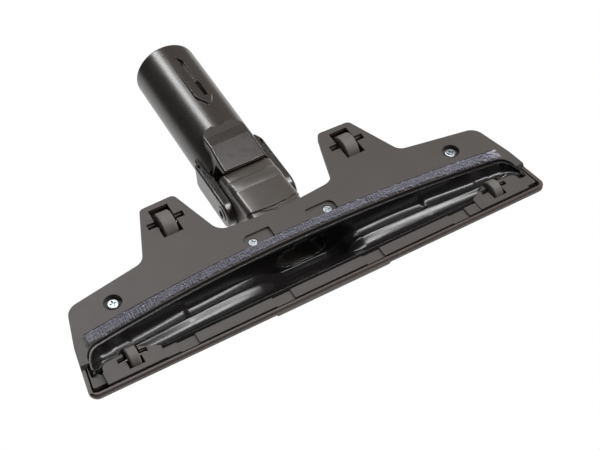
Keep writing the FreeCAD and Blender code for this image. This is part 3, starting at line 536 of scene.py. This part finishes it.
@dataclass(frozen=True)
class PileFabric:
    """Synthetic pile: each fibre has its own tone, paler at its tip; the darker root is painted
    shade.
    """

    root: Colour
    tip: Colour
    fleck: Colour
    # Painted shade: share of the root colour kept at the darkest roots.
    shade: float = 0.7
    fleck_share: tuple[float, float] = (0.4, 0.3)
    roughness: float = 0.62
    sheen_spread: float = 0.1
    sheen: tuple[float, float] = (0.25, 0.5)
    specular: float = 0.35

    def material(self, name: str) -> bpy.types.Material:
        """Builds the material from the fibres' own "tone" and "rise" attributes.

        Colour: root to tip along the fibre's rise, darker at the root as painted shade deep in the
        pile, mixed with a flecked colour that goes by tone from the root, darkened further as
        painted shade, to the fleck. The flecked share grows with the tone.

        Args:
            name: the material's name.

        Returns:
            The material.
        """
        board = Board(name)
        stored = [board.node("ShaderNodeAttribute", {"attribute_name": name})
                  for name in ("tone", "rise")]
        tone, rise = (Number(board, node.outputs["Fac"]) for node in stored)
        least, more = self.fleck_share
        # Darker root and paler tip: painted shade deep in the pile.
        along = board.blend(rise, self.root, self.tip)
        dark = tuple(c * self.shade for c in self.root)
        flecked = board.blend(tone, board.blend(rise, dark, self.root), self.fleck)
        board.feed("Base Color", board.blend(least + tone * more, along, flecked))
        board.feed("Roughness", (self.roughness + (tone - 0.5) * (2.0 * self.sheen_spread)).kept())
        weight, spread = self.sheen
        board.constants(Sheen_Weight=weight, Sheen_Roughness=spread,
                        Specular_IOR_Level=self.specular)
        return board.material


class Finish(Enum):
    """The finishes of the head's pieces."""

    SOLE = MouldedPlastic(linear(95, 89, 86), 0.55, grain_depth_mm=0.010, edge_lift=0.05)
    COVER = MouldedPlastic(linear(98, 88, 84), 0.45, grain_depth_mm=0.006)
    CHANNEL = MouldedPlastic(linear(36, 33, 33), 0.24, grain_depth_mm=0.0012, cloud=0.1,
                             edge_lift=0.2, sheen_spread=0.03)
    # Duct and neck are one satin grey-brown plastic: the duct's paler colour is painted light and
    # the neck's darker colour is painted shade.
    DUCT_PAINTED_LIGHT = MouldedPlastic(linear(108, 102, 97), 0.30, grain_depth_mm=0.0010, specular=0.9,
                          crown_mm=(4.0, 60.0))
    NECK = MouldedPlastic(linear(76, 70, 66), 0.28, grain_depth_mm=0.0010, specular=0.9,
                          cloud=0.04)
    WHEEL = MouldedPlastic(linear(134, 129, 124), 0.6, grain_depth_mm=0.004, edge_lift=0.1)
    CARRIER = MouldedPlastic(linear(60, 57, 60), 0.6)
    ZINC = PlatedSteel((0.54, 0.58, 0.60), 0.42)
    # Pin and axles: plated steel darkened near black, painted shade for the deep axle slots.
    STEEL_PAINTED_SHADE = PlatedSteel((0.12, 0.12, 0.115), 0.3)
    PILE = PileFabric(linear(206, 205, 226), linear(246, 246, 255), linear(252, 251, 255))

    def made(self) -> bpy.types.Material:
        """The finish's material, built the first time it is asked for."""
        name = self.name.lower()
        return bpy.data.materials.get(name) or self.value.material(name)


@dataclass
class ChannelTrough:
    """Suction channel: a rear flute, a ridge and a front flute, deepest at the throat.

    Sizes are millimetres of the drawing. Each table gives values at places along the half
    length, counted from the middle.
    """

    # Outline
    half: float = 132.6
    rear_y: float = -61.4
    rear_sag: float = 10.3
    full_front_y: float = -87.2
    front_places: Table = (0.0, 92.0, 97.0, 107.3, 109.6, 116.6, 119.0, 127.2, 130.2, 131.2)
    front_y: Table = (-87.2, -87.2, -86.9, -81.3, -78.6, -78.5, -80.9, -81.9, -83.6, -83.6)
    least_width: float = 1.5
    end_round: float = 9.0
    corner_round: tuple[float, float] = (7.0, 12.1)
    # Walls and rim; the bead's points are (distance behind the edge, height above the rim)
    rim_z: float = 3.7
    wall: float = 1.2
    front_wall: float = 0.3
    end_wall: float = 0.05
    bead: tuple[tuple[float, float], ...] = (
        (2.5, 1.9), (1.75, 1.4), (1.65, 0.35), (1.45, 0.15), (1.1, 0.0), (0.6, 0.0), (0.25, 0.1))
    # Section
    places: Table = (0.0, 14.0, 20.0, 26.0, 33.0, 45.0, 73.5, 76.5, 100.0, 126.0, 131.2)
    peak: Table = (20.4, 20.0, 18.0, 13.5, 10.6, 9.4, 8.2, 6.9, 6.3, 5.2, 4.8)
    ridge: Table = (23.0, 22.0, 15.5, 10.0, 7.2, 6.2, 5.2, 5.0, 4.5, 3.7, 3.5)
    ridge_y: Table = (10.4, 10.4, 10.4, 10.2, 10.1, 10.1, 9.9, 9.9, 9.4, 6.8, 5.0)
    lean: Table = (1.2, 1.4, 2.0, 2.8, 3.2, 3.8, 4.4, 4.6, 5.0, 4.6, 2.0)
    roof_slope: Table = (0.04, 0.04, 0.08, 0.18, 0.28, 0.32, 0.32, 0.32, 0.32, 0.32, 0.32)
    lean_share: float = 0.4
    ridge_room: float = 0.8
    fall: float = 4.4
    fall_share: float = 0.6
    front_arch: float = 2.0
    ridge_sharpness: float = 2.2
    # Throat; the dome is (y where it starts, height there, fall for each millimetre forwards)
    dome: tuple[float, float, float] = (-65.0, 23.5, 0.95)
    throat_half: float = 16.0
    throat_z: tuple[float, float] = (9.0, 23.0)
    throat_reach: float = 3.0
    # Grid
    straight_steps: int = 167
    end_steps: int = 15
    wall_steps: int = 15
    roof_steps: int = 13
    flute_steps: int = 19

    def stations(self) -> np.ndarray:
        """Places along the channel, closer together towards the rounded ends.

        Returns:
            The places from the left end to the right one.
        """
        straight = self.half - self.end_round
        turn = np.linspace(0.0, np.pi / 2, self.end_steps)[1:]
        end = straight + self.end_round * np.sin(turn)
        right = np.concatenate([np.linspace(0.0, straight, self.straight_steps), end])
        return np.concatenate([-right[::-1], right[1:]])

    def section(self, x: np.ndarray) -> tuple[np.ndarray, np.ndarray]:
        """Points across the channel at every place along it.

        The rear wall is a quarter of an ellipse, lean wide and as high as the roof's rear
        edge. The roof rises by a parabola to the peak, then a quarter of a sine falls to the
        ridge. The front flute is half a sine over the ridge's depth. Where roof and flute
        meet, the larger depth wins, smoothed by log(exp(k a) + exp(k b)) / k. The dome caps
        the depth in the same way. Towards an end the depth falls as a quarter of an ellipse.

        Args:
            x: places along the channel.

        Returns:
            y and depth above the rim, both places by samples.
        """
        place = np.abs(x)
        peak, ridge, reach, lean, slope = (
            eased(place, self.places, table)
            for table in (self.peak, self.ridge, self.ridge_y, self.lean, self.roof_slope))
        long, deep = self.corner_round
        bend = np.clip((place - self.half) / long + 1.0, 0.0, 1.0)
        corner = deep * (1.0 - np.sqrt(1.0 - bend ** 2))
        rear = self.rear_y - self.rear_sag * (x / self.half) ** 2 - corner
        front = np.minimum(eased(place, self.front_places, self.front_y), rear - self.least_width)
        room = rear - front
        lean = np.minimum(lean, room * self.lean_share)
        crest = rear - np.minimum(reach, room - self.ridge_room)
        fall = np.minimum(self.fall, (rear - lean - crest) * self.fall_share)
        top = crest + fall
        share = np.linspace(0.0, 1.0, self.roof_steps)[1:]
        flute_share = np.linspace(0.0, 1.0, self.flute_steps)[1:]
        wall_turn = np.linspace(0.0, np.pi / 2, self.wall_steps)
        y = np.concatenate([rear[:, None] - lean[:, None] * (1.0 - np.cos(wall_turn)),
                            self.between(rear - lean, top, share),
                            self.between(top, crest, share),
                            self.between(crest, front, flute_share)], axis=1)
        crest, fall, peak, ridge, top, slope = (
            value[:, None] for value in (crest, fall, peak, ridge, top, slope))
        past = np.maximum(y - top, 0.0)
        roof = peak - slope * past ** 2 / (y[:, :1] - top)
        back = (y - crest) / fall
        rise = np.where(back > 0.0, np.sin(np.clip(back, 0.0, 1.0) * np.pi / 2),
                        back * np.pi / 2)
        behind = ridge + (roof - ridge) * rise
        ahead = (crest - y) / (crest - self.full_front_y)
        arch = np.where(ahead > 0.0, np.sin(np.clip(ahead, 0.0, 1.0) * np.pi), ahead * np.pi)
        before = ridge + self.front_arch * arch
        sharp = self.ridge_sharpness
        depth = np.logaddexp(behind * sharp, before * sharp) / sharp
        start, height, pitch = self.dome
        depth = -np.logaddexp(-depth, pitch * (start - y) - height)
        wall = np.ones(y.shape[1])
        wall[:self.wall_steps] = np.sin(wall_turn)
        over = np.clip((place - self.half) / self.end_round + 1.0, 0.0, 1.0)
        return y, depth * wall * np.sqrt(1.0 - over ** 2)[:, None]

    @staticmethod
    def between(start: np.ndarray, end: np.ndarray, shares: np.ndarray) -> np.ndarray:
        """Values from start towards end at the given shares, one row for each place."""
        return start[:, None] + (end - start)[:, None] * shares

    def rimmed(self, y: np.ndarray, depth: np.ndarray) -> np.ndarray:
        """The trough's grid with a rounded bead behind it, a front wall and closed ends.

        The bead's points stand off the rear edge along the edge's own normal.

        Args:
            y: places across the channel, stations by samples.
            depth: depth above the rim at each of them.

        Returns:
            Grid of points in the drawing's millimetres.
        """
        x = self.stations()[:, None]
        along = np.gradient(np.concatenate([x, y[:, :1]], axis=1), axis=0)
        along /= np.linalg.norm(along, axis=1, keepdims=True)
        off, low = np.array(self.bead).T
        wide = np.concatenate([x - along[:, 1:] * off, np.broadcast_to(x, y.shape), x, x], axis=1)
        y = np.concatenate([y[:, :1] + along[:, :1] * off, y, y[:, -1:],
                            y[:, -1:] - self.front_wall], axis=1)
        rim = np.zeros_like(x)
        depth = np.concatenate([rim + low, depth, rim, rim], axis=1)
        grid = np.stack([wide, y, self.rim_z + depth], -1)
        ends = []
        for end, side in ((0, -1.0), (-1, 1.0)):
            past = grid[end].copy()
            past[:, 0] = side * (self.half + off[0] + self.end_wall)
            past[:, 2] = self.rim_z + low[0]
            ends.append(past[None])
        return np.concatenate([ends[0], grid, ends[1]])

    def throat(self, grid: np.ndarray) -> np.ndarray:
        """Cells of the grid that lie in the throat, an ellipse in x and z near the rear edge.

        Args:
            grid: the trough's grid of points.

        Returns:
            True for each cell that is open.
        """
        middle = (grid[:-1, :-1] + grid[1:, 1:]) / 2
        low, high = self.throat_z
        above = (middle[..., 2] - (low + high) / 2) / ((high - low) / 2)
        inside = (middle[..., 0] / self.throat_half) ** 2 + above ** 2 < 1.0
        return inside & (middle[..., 1] > self.rear_y - self.throat_reach)

    def build(self) -> bpy.types.Object:
        """Makes the channel's shell, open at the throat.

        The outer grid is the inner one moved up its own normals by the wall.

        Returns:
            The piece, riding on the head in place of its CAD solid.
        """
        grid = self.rimmed(*self.section(self.stations()))
        normal = np.cross(np.gradient(grid, axis=0), np.gradient(grid, axis=1))
        normal *= np.sign(normal[..., 2:] + TINY)
        normal /= np.linalg.norm(normal, axis=2, keepdims=True) + TINY
        outer = grid + normal * self.wall
        outer[..., 2] = np.maximum(outer[..., 2], self.rim_z + self.wall)
        points, quads = shell(grid, outer, ~self.throat(grid))
        made = piece("suction_channel", framed(points), quads, Finish.CHANNEL.made())
        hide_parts("channel_insert")
        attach(made, "head")
        return made


@dataclass
class LintStrip:
    """Strip of pile: a thin ground cloth on the carrier, and fibres that stand on it.

    Sizes are millimetres of the drawing. Both edges bow forwards by their sag times the
    square of the place along the strip over its half length.
    """

    # Ground cloth; an edge is (y in the middle, sag)
    half: float = 128.4
    rear: tuple[float, float] = (-52.5, 8.4)
    front: tuple[float, float] = (-56.9, 9.5)
    ground_z: float = 3.75
    ground_thick: float = 0.3
    ground_tone: float = 0.2
    ground_steps: tuple[int, int] = (181, 9)
    # Fibres
    seed: int = 7
    fibres: int = 19000
    width: float = 0.24
    tip_z: float = 1.9
    least_z: float = 0.6
    length: float = 0.9
    length_by_tuft: float = 0.12
    length_stray: float = 0.05
    edge_drop: float = 0.22
    bend: tuple[float, float, float] = (0.35, 0.35, 0.55)
    bend_width: float = 0.85
    bend_rise: float = 0.6
    # Lean; forwards at the rear edge, at the front edge, and more of it at the strip's ends
    lean: tuple[float, float] = (-0.8, -2.3)
    end_lean: float = -1.3
    lean_by_tuft: float = 0.45
    stray: float = 0.2
    end_zone: float = 6.0
    end_spread: float = 2.4
    # Tufts
    tuft_mm: float = 1.7
    tuft_rows: int = 3
    tuft_room: tuple[float, float] = (0.2, 0.8)
    gather: float = 0.6
    # Tone; its middle, and its spread by tuft, by chance and at the ends
    tone: tuple[float, float, float, float] = (0.45, 0.4, 0.15, 0.3)

    def edge(self, x: np.ndarray, line: tuple[float, float]) -> np.ndarray:
        """y of a bowed edge."""
        return line[0] - line[1] * (x / self.half) ** 2

    def ground(self) -> bpy.types.Object:
        """Ground cloth: two grids of the strip's outline, joined round their edges.

        Returns:
            The cloth.
        """
        along, across = self.ground_steps
        x = np.linspace(-self.half, self.half, along)
        rear, front = self.edge(x, self.rear), self.edge(x, self.front)
        y = rear[:, None] + (front - rear)[:, None] * np.linspace(0.0, 1.0, across)
        low = np.stack([np.broadcast_to(x[:, None], y.shape), y,
                        np.full(y.shape, self.ground_z)], -1)
        high = low + (0.0, 0.0, self.ground_thick)
        points, quads = shell(low, high, np.ones((along - 1, across - 1), dtype=bool))
        made = piece("lint_ground", framed(points), quads, Finish.PILE.made())
        # A low tone and no rise give the cloth the darkened root colour: painted shade under the
        # pile.
        self.attribute(made, "tone", np.full(len(points), self.ground_tone))
        self.attribute(made, "rise", np.zeros(len(points)))
        return made

    @staticmethod
    def attribute(made: bpy.types.Object, name: str, values: np.ndarray) -> None:
        """Stores one number for every vertex."""
        store = made.data.attributes.new(name, "FLOAT", "POINT")
        store.data.foreach_set("value", values.astype(np.float32))

    def fibre_lines(self, rng: np.random.Generator) -> tuple[np.ndarray, ...]:
        """Root and tip of every fibre, rooted at random on the ground cloth.

        The cloth is divided into tufts. A fibre's tip moves forwards by the strip's lean,
        more so in front, and towards its tuft's middle by the gather share of its distance.
        A tuft's fibres share their length and tone, and those near an end lean outwards.

        Args:
            rng: the source of random numbers.

        Returns:
            Roots and tips, the tuft's own number from -1 to 1, and nearness to an end.
        """
        count = self.fibres
        x = rng.uniform(-self.half, self.half, count)
        across = rng.uniform(-1.0, 1.0, count)
        rear, front = self.edge(x, self.rear), self.edge(x, self.front)
        middle_y, half_wide = (rear + front) / 2, (rear - front) / 2
        root = np.stack([x, middle_y + across * half_wide, np.full(count, self.ground_z)], -1)
        column = np.floor((x + self.half) / self.tuft_mm)
        row = np.floor((across + 1.0) / 2 * self.tuft_rows)
        tuft = (column * self.tuft_rows + row).astype(int)
        shift = rng.uniform(*self.tuft_room, (tuft.max() + 1, 2))
        bunch = rng.uniform(-1.0, 1.0, tuft.max() + 1)[tuft]
        centre_x = (column + shift[tuft, 0]) * self.tuft_mm - self.half
        centre_y = middle_y + ((row + shift[tuft, 1]) / self.tuft_rows * 2.0 - 1.0) * half_wide
        end = np.clip((np.abs(x) - self.half) / self.end_zone + 1.0, 0.0, 1.0)
        rearmost, foremost = self.lean
        foremost = foremost + self.end_lean * (np.abs(x) / self.half) ** 4
        lean_y = rearmost + (foremost - rearmost) * (1.0 - across) / 2
        lean_y += (centre_y - root[:, 1]) * self.gather + bunch * self.lean_by_tuft
        lean_y += rng.normal(0.0, self.stray, count)
        lean_x = (centre_x - x) * self.gather + rng.normal(0.0, self.stray, count)
        lean_x += np.sign(x) * end * self.end_spread
        length = self.length + self.length_by_tuft * bunch
        length += rng.normal(0.0, self.length_stray, count)
        length *= (self.ground_z - self.tip_z) * (1.0 - self.edge_drop * across ** 4)
        tip = root + np.stack([lean_x, lean_y, -length], -1)
        tip[:, 2] = np.maximum(tip[:, 2], self.least_z)
        return root, tip, bunch, end

    def nap(self) -> bpy.types.Object:
        """Fibres: three-sided spikes with a bend, wide at the root and closed at the tip.

        Each has a ring of three points at its root, a narrower one at its bend and a tip.

        Returns:
            The fibres as one piece with "tone" and "rise" for every vertex.
        """
        rng = np.random.default_rng(self.seed)
        root, tip, bunch, end = self.fibre_lines(rng)
        count = self.fibres
        middle = root + (tip - root) * self.bend
        side = np.arange(3)
        turn = rng.uniform(0.0, 2.0 * np.pi, count)[:, None] + side * (2.0 * np.pi / 3.0)
        ring = np.stack([np.cos(turn), np.sin(turn), np.zeros_like(turn)], -1) * (self.width / 2)
        points = np.concatenate([root[:, None] + ring, middle[:, None] + ring * self.bend_width,
                                 tip[:, None]], axis=1)
        after = (side + 1) % 3
        pattern = np.concatenate([np.stack([side, after, side + 3], -1),
                                  np.stack([after, after + 3, side + 3], -1),
                                  np.stack([side + 3, after + 3, np.full(3, 6)], -1)])
        each = points.shape[1]
        faces = (np.arange(count)[:, None, None] * each + pattern).reshape(-1, 3)
        made = piece("lint_nap", framed(points), faces[:, ::-1], Finish.PILE.made())
        level, by_tuft, by_chance, at_end = self.tone
        tone = level + by_tuft * bunch + rng.normal(0.0, by_chance, count) + end * at_end
        self.attribute(made, "tone", np.repeat(np.clip(tone, 0.0, 1.0), each))
        self.attribute(made, "rise", np.tile([0.0] * 3 + [self.bend_rise] * 3 + [1.0], count))
        return made

    def build(self) -> None:
        ground = self.ground()
        nap = self.nap()
        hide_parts("lint_strip")
        for made in (ground, nap):
            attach(made, "head")


@dataclass
class Dressing:
    """Gives the CAD solids their finishes."""

    finishes: dict[str, Finish] = field(default_factory=lambda: {
        "top_cover": Finish.COVER, "sole_plate": Finish.SOLE, "channel_insert": Finish.CHANNEL,
        "outlet_duct": Finish.DUCT_PAINTED_LIGHT, "neck_tube": Finish.NECK, "strip_carrier": Finish.CARRIER,
        "outer_screws": Finish.ZINC, "inner_screws": Finish.ZINC, "pivot_pin": Finish.STEEL_PAINTED_SHADE,
        "rear_axle": Finish.STEEL_PAINTED_SHADE, "front_axle": Finish.STEEL_PAINTED_SHADE, "rear_wheel": Finish.WHEEL,
        "front_wheel": Finish.WHEEL, "lint_strip": Finish.PILE,
    })

    def dress(self) -> None:
        """Puts a finish on every CAD node; mirrored nodes share one finish."""
        for name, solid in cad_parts.items():
            finish = self.finishes[name.removesuffix("_right").removesuffix("_left")]
            solid.data.materials.clear()
            solid.data.materials.append(finish.made())
            LOG.info("%s: %s", name, finish.name.lower())


@dataclass(frozen=True)
class Lamp:
    """Soft rectangular lamp that faces the middle of the head.

    Towards is the direction from the head to the lamp, distance and size are metres, and
    radiance is its brightness as seen in a mirror. Shines says whether it lights surfaces,
    mirrored whether glossy ones show it.
    """

    name: str
    towards: tuple[float, float, float]
    distance: float
    size: tuple[float, float]
    radiance: float
    shines: bool = True
    mirrored: bool = True

    def hang(self) -> None:
        """Adds the lamp; its power is radiance times area times pi."""
        data = bpy.data.lights.new(self.name, "AREA")
        data.shape = "RECTANGLE"
        data.size, data.size_y = self.size
        data.energy = self.radiance * self.size[0] * self.size[1] * math.pi
        lamp = bpy.data.objects.new(self.name, data)
        direction = Vector(self.towards).normalized()
        facing = direction.to_track_quat("Z", "Y").to_matrix().to_4x4()
        lamp.matrix_world = Matrix.Translation(direction * self.distance) @ facing
        lamp.visible_camera = False
        lamp.visible_diffuse = self.shines
        lamp.visible_glossy = self.mirrored
        bpy.context.scene.collection.objects.link(lamp)


@dataclass
class Studio:
    """Camera, floor, world and lamps.

    The camera's place is metres from the frame's origin. Its right and down are directions
    in the frame. The world's heights and depths are shares of a ray's length.
    """

    # Camera
    camera_place: tuple[float, float, float] = (0.18195, -0.42874, -0.47745)
    camera_right: tuple[float, float, float] = (-0.8718, -0.4888, 0.0325)
    camera_down: tuple[float, float, float] = (0.3913, -0.6549, 0.6465)
    lens_mm: float = 67.97
    sensor_mm: float = 36.0
    nearest: float = 0.01
    # Floor
    floor_size: float = 6.0
    floor_drop: float = 0.0004
    floor_colour: Colour = (0.86, 0.86, 0.85)
    floor_roughness: float = 0.7
    # World
    tint: Colour = (1.0, 0.99, 0.98)
    white: Colour = (1.0, 1.0, 1.0)
    dim: float = 0.05
    upper: float = 0.75
    rear_wall: float = 0.7
    left_wall: float = 0.12
    upper_from: tuple[float, float] = (0.10, 0.45)
    rear_from: tuple[float, float] = (0.78, 0.95)
    left_from: tuple[float, float] = (0.1, 0.9)
    # Lamps
    lamps: tuple[Lamp, ...] = (
        Lamp("key", (-0.68, -0.05, -0.73), 1.3, (0.9, 0.9), 5.1, mirrored=False),
        Lamp("band", (0.14, 0.60, -0.79), 1.1, (0.24, 0.90), 10.0, shines=False),
        Lamp("crest", (-0.20, 0.05, -0.97), 1.1, (0.34, 0.22), 18.0, shines=False),
        Lamp("flute", (-0.35, -0.27, -0.90), 1.1, (0.20, 0.24), 24.0, shines=False),
        Lamp("above", (-0.2, 0.1, 1.0), 1.4, (1.2, 1.2), 1.4),
    )

    def aim(self) -> None:
        """Sets the camera at the photograph's viewing angle."""
        data = bpy.data.cameras.new("camera")
        data.lens = self.lens_mm
        data.sensor_width = self.sensor_mm
        data.clip_start = self.nearest
        right = Vector(self.camera_right).normalized()
        back = right.cross(-Vector(self.camera_down)).normalized()
        up = back.cross(right)
        turn = Matrix((right, up, back)).transposed().to_4x4()
        camera = bpy.data.objects.new("camera", data)
        camera.matrix_world = Matrix.Translation(Vector(self.camera_place)) @ turn
        bpy.context.scene.collection.objects.link(camera)
        bpy.context.scene.camera = camera

    def lay_floor(self) -> None:
        """Lays a pale floor that is clear from below, so that it doesn't hide the head."""
        half = self.floor_size / 2
        corners = [(-half, -half), (half, -half), (half, half), (-half, half)]
        mesh = bpy.data.meshes.new("floor")
        mesh.from_pydata([(x, y, -self.floor_drop) for x, y in corners], [], [(0, 1, 2, 3)])
        board = Board("floor")
        board.constants(Base_Color=self.floor_colour, Roughness=self.floor_roughness)
        clear = board.node("ShaderNodeBsdfTransparent")
        behind = board.node("ShaderNodeNewGeometry").outputs["Backfacing"]
        mixed = board.node("ShaderNodeMixShader", {}, {0: behind, 1: board.shader.outputs[0],
                                                       2: clear.outputs[0]})
        board.link(mixed.outputs[0], board.output.inputs["Surface"])
        mesh.materials.append(board.material)
        floor = bpy.data.objects.new("floor", mesh)
        floor.visible_shadow = False
        floor.visible_glossy = False
        floor.visible_diffuse = False
        bpy.context.scene.collection.objects.link(floor)

    def light(self) -> None:
        """Sets the world and the lamps.

        The camera sees white, and so do mirror and clear rays that go up to the backdrop.
        Other rays see the studio: its walls grow from their lower brightness to their upper
        one between two heights, and grow pale towards the back and a little to the left.
        """
        world = bpy.data.worlds.new("studio")
        world.use_nodes = True
        bpy.context.scene.world = world
        board = Board.of_world(world)
        ray = board.node("ShaderNodeTexCoord").outputs["Generated"]
        sky = board.node("ShaderNodeSeparateXYZ", {}, {0: ray})
        right, back, up = (Number(board, sky.outputs[axis]) for axis in range(3))
        above = up.stepped(*self.upper_from)
        walls = self.dim + (self.upper - self.dim) * above
        far = back.stepped(*self.rear_from) * (self.rear_wall - self.dim)
        left = (0.0 - right).stepped(*self.left_from) * (self.left_wall - self.dim)
        unseen = board.node("ShaderNodeBackground", {},
                            {"Color": (*self.tint, 1.0), "Strength": walls + far + left})
        seen = board.node("ShaderNodeBackground", {}, {"Color": (*self.white, 1.0)})
        path = board.node("ShaderNodeLightPath")
        camera, glossy, through = (Number(board, path.outputs["Is %s Ray" % kind])
                                   for kind in ("Camera", "Glossy", "Transmission"))
        mixed = board.node("ShaderNodeMixShader", {},
                           {0: (camera + (glossy + through) * above).kept(),
                            1: unseen.outputs[0], 2: seen.outputs[0]})
        board.link(mixed.outputs[0], board.output.inputs["Surface"])
        for lamp in self.lamps:
            lamp.hang()


def main() -> None:
    """Builds the scene piece by piece."""
    logging.basicConfig(level=logging.INFO, format="%(name)s %(message)s")
    studio = Studio()
    studio.aim()
    studio.lay_floor()
    studio.light()
    Dressing().dress()
    ChannelTrough().build()
    LintStrip().build()
    bpy.context.scene.view_settings.view_transform = "Standard"


if __name__ == "__main__":
    main()
